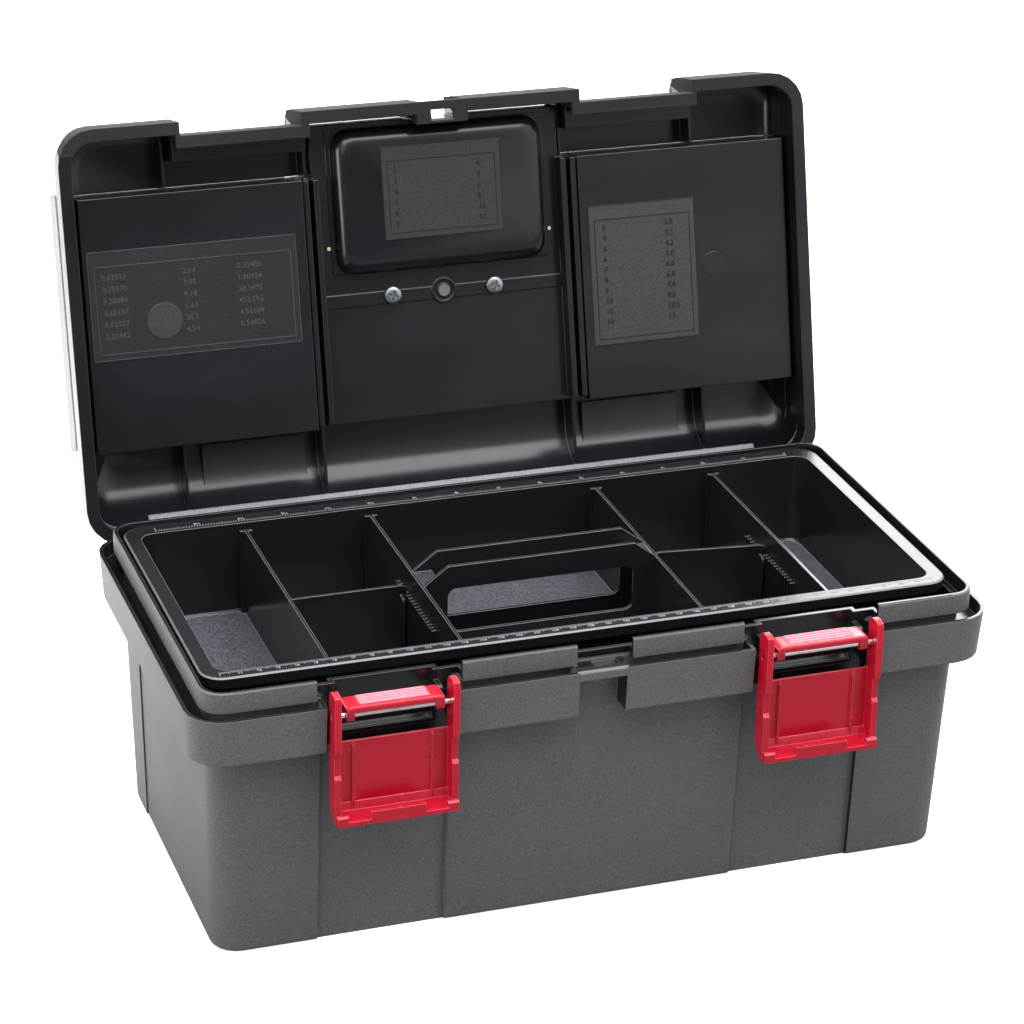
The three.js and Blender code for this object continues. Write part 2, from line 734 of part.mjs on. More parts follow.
// A low pad round the hand pocket and a strip under the bracket's screws.
function valleyPads() {
  const face = VALLEY_FLOOR - WALL;
  const padHalf = POCKET_HALF + 5;
  return join(
    box(-padHalf, padHalf, VALLEY_FRONT, PAD_BACK, face - STRIP, face + 1),
    box(-VALLEY_HALF, VALLEY_HALF, STRIP_FRONT, STRIP_BACK, face - STRIP, face + 1),
  );
}

// Upright ribs inside the lid, and a gusset in each rear corner, kept inside its skin.
function lidRibs(side) {
  const high = LID_TOP - 1.5;
  const ribs = LID_RIB_X.map((x) => [
    box(side * (x - LID_RIB / 2), side * (x + LID_RIB / 2), -BAND_Y + 3, WELL_FRONT - 1, LID_RIB_Z, high),
    box(side * (x - LID_RIB / 2), side * (x + LID_RIB / 2), WELL_BACK + 1, BAND_Y - LID_STEP - 1, LID_RIB_Z, high),
  ]);
  const pad = box(side * 86, side * 147, WELL_BACK + 8, WELL_BACK + 36, LID_TOP - 6, high);
  const gusset = prismZ(
    side > 0
      ? [[LIP_X, WELL_BACK + 1], [LIP_X, WELL_BACK + 34], [LIP_X - 14, WELL_BACK + 1]]
      : [[-LIP_X, WELL_BACK + 1], [-LIP_X + 14, WELL_BACK + 1], [-LIP_X, WELL_BACK + 34]],
    LID_RIB_Z + 5,
    high,
  );
  return join(ribs.flat(), pad, gusset).intersect(crown(1.2, LID_TOP - 1.2, LID_Z + 1));
}

function valleyHollow() {
  return loft([
    ring(-VALLEY_HALF, VALLEY_HALF, VALLEY_FRONT, WELL_BACK, 6, VALLEY_FLOOR),
    ring(-VALLEY_HALF - 1, VALLEY_HALF + 1, VALLEY_FRONT - 1, WELL_BACK + 1, 7, LID_TOP + 1),
  ]);
}

// Level rings of a pocket with a generously rounded bottom edge, up to the valley floor.
function pillowRings(half, front, back, radius, bottom) {
  const rings = [0, 20, 40, 65, 90].map((angle) => {
    const a = THREE.MathUtils.degToRad(angle);
    const inset = radius * (1 - Math.sin(a));
    const z = bottom + radius * (1 - Math.cos(a));
    return ring(-half + inset, half - inset, front + inset, back - inset, 10, z);
  });
  rings.push(ring(-half, half, front, back, 10, VALLEY_FLOOR + 0.5));
  return rings;
}

function pocketBlock() {
  const half = POCKET_HALF + WALL;
  return loft(pillowRings(half, POCKET_FRONT - WALL, POCKET_BACK + WALL, BULGE_ROUND, LID_FACE_Z));
}

function pocketHollow() {
  const half = POCKET_HALF;
  return loft(pillowRings(half, POCKET_FRONT, POCKET_BACK, BULGE_ROUND - WALL, LID_FACE_Z + WALL));
}

// The front wall steps back at each latch, full height.
function notchBacking(side) {
  const inner = side * (RIM_GAP_MIN + GAP);
  const outer = side * (RIM_GAP_MAX - GAP);
  const wall = box(inner, outer, NOTCH_Y, NOTCH_Y + WALL, LID_Z, NOTCH_DEEP_Z);
  const lip = box(inner, outer, NOTCH_Y, NOTCH_LIP_Y, LID_Z, LID_Z + WALL + 0.5);
  const shelf = box(inner, outer, NOTCH_Y, NOTCH_DEEP_Y + WALL, NOTCH_DEEP_Z - WALL, NOTCH_DEEP_Z);
  const deep = box(inner, outer, NOTCH_DEEP_Y, NOTCH_DEEP_Y + WALL, NOTCH_DEEP_Z - WALL, LID_TOP - 1);
  const cheeks = [
    box(inner, side * NOTCH_MIN, -BAND_Y + 1, NOTCH_Y + 1, LID_Z, LID_TOP - 6),
    box(side * NOTCH_MAX, outer, -BAND_Y + 1, NOTCH_Y + 1, LID_Z, LID_TOP - 6),
    box(inner, side * NOTCH_MIN, -BAND_Y + 9, NOTCH_DEEP_Y + WALL, NOTCH_DEEP_Z - WALL, LID_TOP - 1),
    box(side * NOTCH_MAX, outer, -BAND_Y + 9, NOTCH_DEEP_Y + WALL, NOTCH_DEEP_Z - WALL, LID_TOP - 1),
    box(inner, side * NOTCH_MIN, -BAND_Y + 4, -BAND_Y + 10, NOTCH_DEEP_Z, LID_TOP - 6),
    box(side * NOTCH_MAX, outer, -BAND_Y + 4, -BAND_Y + 10, NOTCH_DEEP_Z, LID_TOP - 6),
  ];
  return join(wall, lip, shelf, deep, cheeks);
}

function notchCut(side) {
  return join(
    box(side * NOTCH_MIN, side * NOTCH_MAX, -BAND_Y - 2, NOTCH_Y, LID_Z - 1, LID_TOP + 1),
    box(side * NOTCH_MIN, side * NOTCH_MAX, NOTCH_Y - 1, NOTCH_DEEP_Y, NOTCH_DEEP_Z, LID_TOP + 1),
  );
}

function lockRecessBlock() {
  const half = LOCK_RIM_HALF - GAP;
  const back = LOCK_RECESS_Y + LOCK_RECESS_WALL;
  return box(-half, half, -BAND_Y + 1, back, LID_Z, LID_TOP - 1);
}

function lockRecessCut() {
  const half = LOCK_RECESS_HALF;
  return join(
    box(-half, half, -BAND_Y - 2, LOCK_RECESS_Y, LOCK_RECESS_FLOOR, LID_TOP + 1),
    box(-LOCK_SLOT_HALF, LOCK_SLOT_HALF, LOCK_SLOT_FRONT, LOCK_RECESS_Y, LID_Z - 1, LID_TOP),
  );
}

function lidKnuckle(side) {
  const centre = side * HINGE_X;
  const half = LID_KNUCKLE_HALF;
  return join(
    rodX(centre - half, centre + half, HINGE_Y, HINGE_Z, KNUCKLE_R),
    box(centre - half, centre + half, 113.4, BAND_Y, HINGE_Z, LID_Z + 1),
  );
}

// Posts on the lid that hold the ends of a cover's hinge barrel.
function coverPosts(side) {
  const centre = side * COVER_HINGE_X;
  const posts = [-66, 53].map((y) => {
    const outline = [
      [centre - COVER_POST_HALF, LID_TOP - 1],
      [centre + COVER_POST_HALF, LID_TOP - 1],
      [centre + 3, COVER_HINGE_Z + 1],
      [centre + 1.4, COVER_HINGE_Z + 2.6],
      [centre - 1.4, COVER_HINGE_Z + 2.6],
      [centre - 3, COVER_HINGE_Z + 1],
    ];
    return prismY(outline, y, y + 3);
  });
  return cut(join(posts), rodY(-70, 60, centre, COVER_HINGE_Z, COVER_STUB_R + GAP));
}

function screwHoles() {
  return [LEFT, RIGHT].map((s) =>
    turned(
      [[0, VALLEY_FLOOR - 5], [2.5, VALLEY_FLOOR - 5], [2.5, VALLEY_FLOOR + 2], [0, VALLEY_FLOOR + 2]],
      s * SCREW_X, SCREW_Y, 16,
    ),
  );
}

// The moulded boss between the screws, with its ring.
function centreBoss() {
  const face = VALLEY_FLOOR - WALL;
  const profile = [
    [0, face - 1.6], [4, face - 1.6], [4, face - 0.6], [6, face - 0.6],
    [6, face - 1.4], [7.4, face - 1.4], [7.4, face + 1], [0, face + 1],
  ];
  return turned(profile, 0, SCREW_Y, 20);
}

// The lid as if in one piece, from which its frame, its centre and its two wells are taken.
function wholeLid() {
  let shell = cut(join(lidFlange(), crown(0, LID_TOP, LID_Z + 1)), lidHollow());
  shell = join(shell, wellBlock(LEFT), wellBlock(RIGHT), lidRibs(LEFT), lidRibs(RIGHT));
  shell = join(shell, valleyBlock(), valleyPads(), pocketBlock());
  shell = join(shell, rails(LEFT), rails(RIGHT), lockRecessBlock(), notchBacking(LEFT), notchBacking(RIGHT));
  shell = cut(shell, wellHollow(LEFT), wellHollow(RIGHT), valleyHollow(), pocketHollow());
  shell = join(shell, wellWalls(LEFT), wellWalls(RIGHT), centreBoss());
  shell = cut(shell, notchCut(LEFT), notchCut(RIGHT), lockRecessCut(), screwHoles());
  shell = join(shell, lidKnuckle(LEFT), lidKnuckle(RIGHT), coverPosts(LEFT), coverPosts(RIGHT));
  return cut(shell, hingeBore(LEFT), hingeBore(RIGHT));
}

// The room that a well takes up in the lid, with this much clearance round it.
function wellRoom(side, clearance) {
  const ends = [side * (WELL_MIN - WALL - clearance), side * (WELL_MAX + WALL + clearance)];
  const x = ends.sort((a, b) => a - b);
  const front = WELL_FRONT - WALL - clearance;
  const back = WELL_BACK + WALL + clearance;
  return box(x[0], x[1], front, back, LID_FACE_Z - 1, LID_TOP + clearance);
}

// The room that the handle's valley and its rails take up between the wells.
function centreRoom(clearance) {
  const valley = VALLEY_HALF + WALL + clearance;
  const railed = WELL_MIN - WALL - 2 * GAP + clearance;
  const back = WELL_BACK + WALL + clearance;
  const high = COVER_HINGE_Z + 5;
  const posts = COVER_HINGE_X + COVER_POST_HALF + 1;
  return join(
    box(-valley, valley, VALLEY_FRONT - WALL - clearance, back, LID_FACE_Z - 1, high),
    box(-railed, railed, WELL_FRONT - WALL - clearance, back, LID_FACE_Z - 1, high),
    box(-posts, posts, WELL_FRONT, WELL_BACK, LID_TOP, high),
  );
}

function lidShell() {
  return cut(wholeLid(), wellRoom(LEFT, GAP), wellRoom(RIGHT, GAP), centreRoom(GAP));
}

function lidCentre() {
  return wholeLid().intersect(centreRoom(0)).subtract(join(wellRoom(LEFT, GAP), wellRoom(RIGHT, GAP)));
}

function organiserWell(side) {
  return wholeLid().intersect(wellRoom(side, 0));
}

function hingePin(side) {
  const centre = side * HINGE_X;
  return rodX(centre - PIN_LENGTH / 2, centre + PIN_LENGTH / 2, HINGE_Y, HINGE_Z, PIN_R, 16);
}

// ---------- organiser covers ----------
function organiserCover(side) {
  const low = LID_TOP + 0.4;
  const top = low + COVER_THICK;
  const plate = box(side * (WELL_MIN - 0.5), side * (COVER_OUTER - 2), COVER_FRONT, COVER_BACK, low, top);
  const edge = join(
    box(side * (BAND_X - LID_STEP + 0.4), side * COVER_OUTER, COVER_FRONT, COVER_BACK, LID_TOP - 4, top),
    box(side * (COVER_OUTER - 3), side * COVER_OUTER, COVER_FRONT, COVER_BACK, low, top + 2),
  );
  const beads = join(
    box(side * (WELL_MIN + 4), side * (COVER_OUTER - 2), COVER_FRONT, COVER_FRONT + 2, low, top + 1.6),
    box(side * (WELL_MIN + 4), side * (COVER_OUTER - 2), COVER_BACK - 2, COVER_BACK, low, top + 1.6),
  );
  const inside = join(
    box(side * (WELL_MIN + 6), side * (WELL_MAX - 6), WELL_FRONT + 0.4, WELL_FRONT + 1.8, LID_TOP - 0.7, top),
    box(side * (WELL_MIN + 6), side * (WELL_MAX - 6), WELL_BACK - 1.8, WELL_BACK - 0.4, LID_TOP - 0.7, top),
  );
  const barrel = rodY(-62, 52, side * COVER_HINGE_X, COVER_HINGE_Z, COVER_BARREL_R);
  const stubs = rodY(-65.5, 55.5, side * COVER_HINGE_X, COVER_HINGE_Z, COVER_STUB_R, 12);
  const arm = box(side * COVER_HINGE_X, side * (WELL_MIN + 1), -62, 52, COVER_HINGE_Z - 1.2, COVER_HINGE_Z + 0.2);
  const fillet = box(side * (WELL_MIN - 0.5), side * (WELL_MIN + 1.5), -62, 52, low, COVER_HINGE_Z + 0.2);
  return join(plate, edge, beads, inside, barrel, stubs, arm, fillet);
}

// ---------- carry handle ----------
// The handle lies towards the hinge, raised by its rest angle, in the frame of the shut lid.
function handleTurn() {
  const turn = new THREE.Matrix4().makeTranslation(0, HANDLE_Y, HANDLE_Z);
  turn.multiply(new THREE.Matrix4().makeRotationX(THREE.MathUtils.degToRad(HANDLE_REST)));
  return turn.multiply(new THREE.Matrix4().makeTranslation(0, -HANDLE_Y, -HANDLE_Z));
}

// A U of two legs and a rounded grip, laid level towards +Y.
function carryHandle() {
  const outer = HANDLE_OUTER;
  const inner = outer - HANDLE_LEG;
  const half = HANDLE_THICK / 2;
  const reach = HANDLE_Y + HANDLE_REACH;
  const grip = reach - HANDLE_GRIP;
  const plan = [
    [-outer, HANDLE_Y],
    [-inner, HANDLE_Y],
    [-inner, grip - 12],
    [-inner + 5, grip - 3],
    [-inner + 14, grip],
    [inner - 14, grip],
    [inner - 5, grip - 3],
    [inner, grip - 12],
    [inner, HANDLE_Y],
    [outer, HANDLE_Y],
    [outer, reach - 12],
    [outer - 4, reach - 3.5],
    [outer - 12, reach],
    [-outer + 12, reach],
    [-outer + 4, reach - 3.5],
    [-outer, reach - 12],
  ];
  const flat = prismZ(plan, HANDLE_Z - half, HANDLE_Z + half);
  const trims = [LEFT, RIGHT].map((s) =>
    prismX([
      [grip - 2, HANDLE_Z + s * (half + 1)],
      [reach + 2, HANDLE_Z + s * (half + 1)],
      [reach + 2, HANDLE_Z + s * (half - 3)],
      [reach - 2.5, HANDLE_Z + s * half],
    ], -80, 80),
  );
  const eyes = [LEFT, RIGHT].map((s) => rodX(s * outer, s * inner, HANDLE_Y, HANDLE_Z, 5));
  const bore = rodX(-80, 80, HANDLE_Y, HANDLE_Z, PIN_R + GAP, 16);
  return cut(join(cut(flat, trims), eyes), bore);
}

function handlePin(side) {
  return rodX(side * (HANDLE_OUTER - HANDLE_LEG + 0.5), side * (EAR_OUTER + 0.8), HANDLE_Y, HANDLE_Z, PIN_R, 16);
}

// The bracket that holds the handle to the lid: a bar with two arms and two upright ears.
function handleBracket() {
  const low = VALLEY_FLOOR + GAP;
  const top = low + 2.4;
  const outer = VALLEY_HALF - 1.2;
  const bar = box(-outer, outer, -19, 6, low, top);
  const arms = [LEFT, RIGHT].map((s) => box(s * EAR_INNER, s * outer, -44, -18, low, top));
  const ears = [LEFT, RIGHT].map((s) => {
    const outline = [
      [HANDLE_Y + 8, low],
      [HANDLE_Y + 5, HANDLE_Z + 3.4],
      [HANDLE_Y + 2.6, HANDLE_Z + 5.2],
      [HANDLE_Y - 2.6, HANDLE_Z + 5.2],
      [HANDLE_Y - 5, HANDLE_Z + 3.4],
      [HANDLE_Y - 8, low],
    ];
    return prismX(outline, s * EAR_INNER, s * EAR_OUTER);
  });
  const bosses = [LEFT, RIGHT].map((s) =>
    turned([[0, low], [4.6, low], [4.2, low + 6], [3.4, low + 6.8], [0, low + 6.8]], s * SCREW_X, SCREW_Y, 20),
  );
  const bores = [LEFT, RIGHT].map((s) =>
    turned([[0, low - 1], [2.3, low - 1], [2.3, low + 5.2], [0, low + 5.2]], s * SCREW_X, SCREW_Y, 16),
  );
  const bore = rodX(-80, 80, HANDLE_Y, HANDLE_Z, PIN_R + GAP, 16);
  return cut(join(bar, arms, ears, bosses), bores, bore);
}

function lidScrew(side) {
  const face = VALLEY_FLOOR - WALL - STRIP - GAP;
  const profile = [
    [0, face - 2.4], [3.2, face - 2.4], [4.8, face - 1.7], [5.3, face - 0.6],
    [5.3, face], [2, face], [2, face + 7.4], [0, face + 7.4],
  ];
  const head = turned(profile, side * SCREW_X, SCREW_Y);
  const drive = [0, 90].map((angle) => {
    const bar = new THREE.BoxGeometry(5.6, 1.1, 1.4);
    bar.rotateZ(THREE.MathUtils.degToRad(angle + 20));
    bar.translate(side * SCREW_X, SCREW_Y, face - 2.4);
    return solid(bar);
  });
  return cut(head, drive);
}

// ---------- latches ----------
// The lever hangs from its rod; the outline of a cheek is set out from the rod's centre.
function cheekOutline() {
  const offsets = [
    [5, -48],
    [5, 9],
    [4.1, 11.8],
    [1.5, 13.5],
    [-3.5, 13.5],
    [-5.6, 12.6],
    [-6.5, 10.5],
    [-6.5, -19],
    [-4, -20.5],
    [-4, -32],
    [-5.8, -34],
    [-5.8, -57.5],
    [-4, -60],
    [2, -57],
    [4.4, -53],
  ];
  return offsets.map(([y, z]) => [ROD_Y + y, ROD_Z + z]).reverse();
}

function latchLever(side) {
  const centre = side * LATCH_X;
  const inner = LEVER_HALF - LEVER_ARM;
  const cheeks = [-1, 1].map((s) => prismX(cheekOutline(), centre + s * inner, centre + s * LEVER_HALF));
  const at = ([y, z]) => [ROD_Y + y, ROD_Z + z];
  const from = centre - inner - 1;
  const to = centre + inner + 1;
  const plate = prismX([[3, -57], [5, -50], [5, -18.4], [3.6, -16.5], [3, -17]].map(at), from, to);
  const lipOutline = [[5, -52], [2.6, -52], [1, -56], [-9, -57.5], [-9, -60], [-4, -60], [2, -57.2], [4.4, -54]];
  const lip = prismX(lipOutline.map(at), from, to);
  const tab = prismX([[-9, -58], [-7.4, -58], [-7.4, -53], [-9, -53]].map(at), centre - 14.8, centre + 14.8);
  const blocks = [-1, 1].map((s) =>
    prismX(
      [[-9, -60], [-3, -60], [-3, -55.5], [-7.6, -54.2], [-9, -55]].map(at),
      centre + s * (LEVER_HALF - 6.5), centre + s * (LEVER_HALF - 0.6),
    ),
  );
  const ribs = [-1, 1].map((s) =>
    prismX([[4, -56], [4, -17.5], [1.2, -19], [1.2, -55]].map(at), centre + s * 20.5, centre + s * 22),
  );
  const bore = rodX(centre - LEVER_HALF - 1, centre + LEVER_HALF + 1, ROD_Y, ROD_Z, ROD_R + GAP, 16);
  return cut(join(cheeks, plate, lip, tab, blocks, ribs), bore);
}

function latchRod(side) {
  const centre = side * LATCH_X;
  return rodX(centre - LEVER_HALF + 0.2, centre + LEVER_HALF - 0.2, ROD_Y, ROD_Z, ROD_R, 16);
}

// The link between the body and the lever's rod, with a ribbed thumb plate on top.
function latchLink(side) {
  const centre = side * LATCH_X;
  const legOutline = [
    [LINK_PIVOT_Y + 2.9, LINK_PIVOT_Z],
    [LINK_PIVOT_Y + 2, LINK_PIVOT_Z + 2],
    [LINK_PIVOT_Y, LINK_PIVOT_Z + 2.9],
    [-110.2, 149.6],
    [-121.5, 149.6],
    [-123, 147.6],
    [-123, 144],
    [-121, 142],
    [-117, 142],
    [-110, 143],
    [LINK_PIVOT_Y, LINK_PIVOT_Z - 2.9],
    [LINK_PIVOT_Y + 2, LINK_PIVOT_Z - 2],
  ];
  const from = centre - LINK_HALF;
  const to = centre + LINK_HALF;
  const legs = [-1, 1].map((s) => {
    return prismX([...legOutline].reverse(), centre + s * (LINK_HALF - LINK_LEG), centre + s * LINK_HALF);
  });
  const plateOutline = [
    [-109.8, 148.5], [-120.4, 148.5], [-121.2, 146.8], [-123, 146.8], [-123, 150], [-122, 151], [-109.8, 151],
  ];
  const plate = prismX(plateOutline.reverse(), from, to);
  const ridges = [-111.6, -114.8, -118].map((y) => rodX(from + 3, to - 3, y, 150.9, 0.8, 12));
  const tube = rodX(centre - LINK_HALF, centre + LINK_HALF, ROD_Y, ROD_Z, 2.9, 20);
  const stubs = [-1, 1].map((s) => {
    const root = centre + s * (LINK_HALF - 1);
    return rodX(root, centre + s * (LUG_OUTER - 0.2), LINK_PIVOT_Y, LINK_PIVOT_Z, STUB_R, 12);
  });
  const bore = rodX(centre - LINK_HALF - 1, centre + LINK_HALF + 1, ROD_Y, ROD_Z, ROD_R + GAP, 16);
  return cut(join(legs, plate, ridges, tube, stubs), bore);
}

// ---------- tray ----------
function trayRing(z, outward) {
  const share = (TRAY_TOP - z) / (TRAY_TOP - TRAY_FLOOR);
  const inset = TRAY_DRAFT * share - outward;
  return ring(-TRAY_OPEN_X + inset, TRAY_OPEN_X - inset, TRAY_OPEN_FRONT + inset, TRAY_OPEN_BACK - inset, 8 + outward, z);
}

function trayInside() {
  return loft([trayRing(TRAY_FLOOR, -1.2), trayRing(TRAY_FLOOR + 1.5, 0), trayRing(TRAY_TOP + 1, 0)]);
}

function trayOutside() {
  const base = TRAY_FLOOR - TRAY_WALL;
  return loft([trayRing(base, TRAY_WALL - 1.6), trayRing(base + 2, TRAY_WALL), trayRing(TRAY_TOP - 1, TRAY_WALL)]);
}

function trayFlange() {
  const low = SHELF_TOP + GAP;
  const outside = loft([
    ring(-TRAY_X, TRAY_X, TRAY_FRONT, TRAY_BACK, 12, low),
    ring(-TRAY_X, TRAY_X, TRAY_FRONT, TRAY_BACK, 12, TRAY_TOP - 0.8),
    ring(-TRAY_X + 0.8, TRAY_X - 0.8, TRAY_FRONT + 0.8, TRAY_BACK - 0.8, 11.2, TRAY_TOP),
  ]);
  const w = TRAY_WALL;
  const under = loft([
    ring(-TRAY_X + w, TRAY_X - w, TRAY_FRONT + w, TRAY_BACK - w, 12 - w, low - 1),
    ring(-TRAY_X + w, TRAY_X - w, TRAY_FRONT + w, TRAY_BACK - w, 12 - w, TRAY_TOP - 2),
  ]);
  return cut(outside, under);
}

// One wall across the tray, thinner at the top, with a small flange near its back end.
function crossWall(x) {
  const outline = [
    [x - CROSS_FOOT, TRAY_FLOOR - 1],
    [x + CROSS_FOOT, TRAY_FLOOR - 1],
    [x + CROSS_HEAD, TRAY_CROSS_TOP],
    [x - CROSS_HEAD, TRAY_CROSS_TOP],
  ];
  const end = TRAY_OPEN_BACK - CROSS_END;
  const wall = cut(
    prismY(outline, TRAY_OPEN_FRONT - 1, TRAY_OPEN_BACK + 1),
    box(x - 3, x + 3, end, TRAY_OPEN_BACK + 2, TRAY_CROSS_TOP - 7, TRAY_CROSS_TOP + 1),
  );
  const flange = box(x - 3.4, x + 3.4, end - 1.5, end, TRAY_FLOOR - 0.5, TRAY_CROSS_TOP);
  return join(wall, flange);
}

// Upright teeth that hold a divider, on the faces of two neighbouring walls.
function racks(xLeft, xRight) {
  const teeth = [];
  for (let row = 0; row < RACK_ROWS; row += 1) {
    const y = RACK_FRONT + row * RACK_PITCH;
    const front = y - RACK_TOOTH / 2;
    const back = y + RACK_TOOTH / 2;
    teeth.push(box(xLeft, xLeft + CROSS_FOOT + RACK_DEPTH, front, back, TRAY_FLOOR - 0.5, RACK_TOP));
    teeth.push(box(xRight - CROSS_FOOT - RACK_DEPTH, xRight, front, back, TRAY_FLOOR - 0.5, RACK_TOP));
  }
  return join(teeth);
}

// The tray's carrying bar: two plates with hand windows, bridged at their ends.
function trayHandle() {
  const half = TRAY_HANDLE_HALF;
  const wall = TRAY_CROSS[2];
  const outline = [
    [-wall, TRAY_FLOOR - 1],
    [wall, TRAY_FLOOR - 1],
    [wall, TRAY_CROSS_TOP],
    [half, TRAY_HANDLE_TOP],
    [-half, TRAY_HANDLE_TOP],
    [-wall, TRAY_CROSS_TOP],
  ];
  const plates = TRAY_HANDLE_Y.map((y) => prismY(outline, y - 1, y + 1));
  const window = loft([
    ring(-half, half, TRAY_WINDOW_BOTTOM, TRAY_WINDOW_TOP, 5, -40),
    ring(-half, half, TRAY_WINDOW_BOTTOM, TRAY_WINDOW_TOP, 5, 40),
  ]);
  const turn = new THREE.Matrix4().set(1, 0, 0, 0, 0, 0, -1, 0, 0, 1, 0, 0, 0, 0, 0, 1);
  const upright = fromSolid(window, turn);
  const bridges = [LEFT, RIGHT].map((s) =>
    box(s * wall, s * (half + 3), TRAY_HANDLE_Y[0], TRAY_HANDLE_Y[1], TRAY_CROSS_TOP - 2.2, TRAY_CROSS_TOP - 0.4),
  );
  return join(cut(join(plates), upright), bridges);
}

function fromSolid(made, matrix) {
  const mesh = asMesh("", made, null, matrix);
  return solid(mesh.geometry);
}

function tray() {
  const outside = join(trayOutside(), trayFlange());
  const shell = cut(outside, trayInside());
  const [first, second, third, fourth] = TRAY_CROSS;
  const inner = join(TRAY_CROSS.map(crossWall), racks(first, second), racks(third, fourth));
  const barRoom = [60, 68].map((x) => box(-x, x, -20, 30, TRAY_CROSS_TOP - 3, TRAY_TOP + 20));
  const fitted = join(inner, trayHandle()).intersect(join(trayOutside(), ...barRoom));
  return join(shell, fitted);
}

// A loose plate with a flange near each end, standing on z 0 and centred on x 0.
function trayDivider() {
  const half = DIVIDER_HALF;
  const thick = DIVIDER_THICK / 2;
  const plate = prismY(
    [
      [-half, 0],
      [half, 0],
      [half, DIVIDER_TALL - 2.6],
      [half - 0.8, DIVIDER_TALL - 0.8],
      [half - 2.6, DIVIDER_TALL],
      [-half + 2.6, DIVIDER_TALL],
      [-half + 0.8, DIVIDER_TALL - 0.8],
      [-half, DIVIDER_TALL - 2.6],
    ],
    -thick,
    thick,
  );
  const wide = DIVIDER_FLANGE_HALF;
  const tall = DIVIDER_FLANGE_TALL;
  const outline = [
    [-wide, 0],
    [wide, 0],
    [wide, tall - 3],
    [wide - 1, tall - 0.9],
    [wide - 3, tall],
    [-wide + 3, tall],
    [-wide + 1, tall - 0.9],
    [-wide, tall - 3],
  ];
  const outer = half - DIVIDER_FLANGE_IN;
  const flanges = [LEFT, RIGHT].map((s) => prismX(outline, s * (outer - 1.2), s * outer));
  return join(plate, flanges);
}

// Where a divider stands: level between two walls, or with its right foot down and its left end up.
function dividerPlace(xLeft, xRight, y, tilt) {
  const floor = TRAY_FLOOR + GAP;
  if (tilt === 0) return new THREE.Matrix4().makeTranslation((xLeft + xRight) / 2, y, floor);
  const angle = THREE.MathUtils.degToRad(tilt);
  const foot = xRight - CROSS_FOOT - DIVIDER_TALL * Math.sin(angle) - 0.1;
  const turn = new THREE.Matrix4().makeTranslation(foot, y, floor);
  turn.multiply(new THREE.Matrix4().makeRotationY(angle));
  return turn.multiply(new THREE.Matrix4().makeTranslation(-DIVIDER_HALF, 0, 0));
}

// ---------- assembly ----------
const group = new THREE.Group();
group.name = "toolbox_with_tray";

function place(name, made, material, matrix) {
  group.add(asMesh(name, made, material, matrix));
}

const open = lidTurn();
const hanging = open.clone().multiply(handleTurn());

place("body_shell", bodyShell(), blackPlastic());
place("tray", tray(), blackPlastic());
const level = dividerPlace(TRAY_CROSS[0], TRAY_CROSS[1], DIVIDER_LEFT_Y, 0);
const askew = dividerPlace(TRAY_CROSS[2], TRAY_CROSS[3], DIVIDER_RIGHT_Y, DIVIDER_TILT);
place("tray_divider_left", trayDivider(), blackPlastic(), level);
place("tray_divider_right", trayDivider(), blackPlastic(), askew);
place("lid_shell", lidShell(), blackPlastic(), open);
place("lid_centre", lidCentre(), blackPlastic(), open);
place("carry_handle", carryHandle(), blackPlastic(), hanging);
place("handle_bracket", handleBracket(), blackPlastic(), open);
for (const [label, side] of [["left", LEFT], ["right", RIGHT]]) {
  place(`hinge_pin_${label}`, hingePin(side), steel());
  place(`latch_${label}_link`, latchLink(side), redPlastic());
  place(`latch_${label}_lever`, latchLever(side), redPlastic());
  place(`latch_${label}_rod`, latchRod(side), steel());
  place(`handle_pin_${label}`, handlePin(side), steel(), open);
  place(`lid_screw_${label}`, lidScrew(side), steel(), open);
  place(`organiser_well_${label}`, organiserWell(side), blackPlastic(), open);
  place(`organiser_cover_${label}`, organiserCover(side), clearPlastic(), open);
}

export default group;
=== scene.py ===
# A plastic toolbox with its lid open: finishes, small details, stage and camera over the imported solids.
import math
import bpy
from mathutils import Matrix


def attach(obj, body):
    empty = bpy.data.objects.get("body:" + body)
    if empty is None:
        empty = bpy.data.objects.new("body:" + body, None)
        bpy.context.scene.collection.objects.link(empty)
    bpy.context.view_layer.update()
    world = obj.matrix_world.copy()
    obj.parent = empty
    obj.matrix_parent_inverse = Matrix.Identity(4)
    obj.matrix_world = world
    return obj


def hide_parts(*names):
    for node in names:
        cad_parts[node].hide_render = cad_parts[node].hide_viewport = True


bl_info = {
    "name": "Toolbox with tray",
    "version": (1, 0, 0),
    "blender": (4, 5, 0),
    "location": "View3D > Sidebar > Toolbox",
    "description": "Finishes a toolbox with a lift-out tray, draw latches and covered organisers",
    "category": "Object",
}

import bmesh
import bpy
from mathutils import Matrix, Vector, geometry

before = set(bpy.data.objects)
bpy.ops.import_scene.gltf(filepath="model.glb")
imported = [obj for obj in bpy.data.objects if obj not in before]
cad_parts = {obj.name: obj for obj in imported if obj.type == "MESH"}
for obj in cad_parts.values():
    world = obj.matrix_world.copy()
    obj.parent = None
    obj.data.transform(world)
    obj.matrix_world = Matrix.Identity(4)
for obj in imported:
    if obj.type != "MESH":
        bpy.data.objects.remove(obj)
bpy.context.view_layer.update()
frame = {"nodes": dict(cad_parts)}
MM = 0.001


# ---------- sizes and colours that a user would change ----------
def colour(label, text, rgb):
    return bpy.props.FloatVectorProperty(
        name=label, description=text, subtype="COLOR", size=3, min=0.0, max=1.0, default=rgb
    )


def length(label, text, metres):
    return bpy.props.FloatProperty(
        name=label, description=text, unit="LENGTH", subtype="DISTANCE", default=metres
    )


def share(label, text, value):
    return bpy.props.FloatProperty(
        name=label, description=text, subtype="FACTOR", min=0.0, max=1.0, default=value
    )


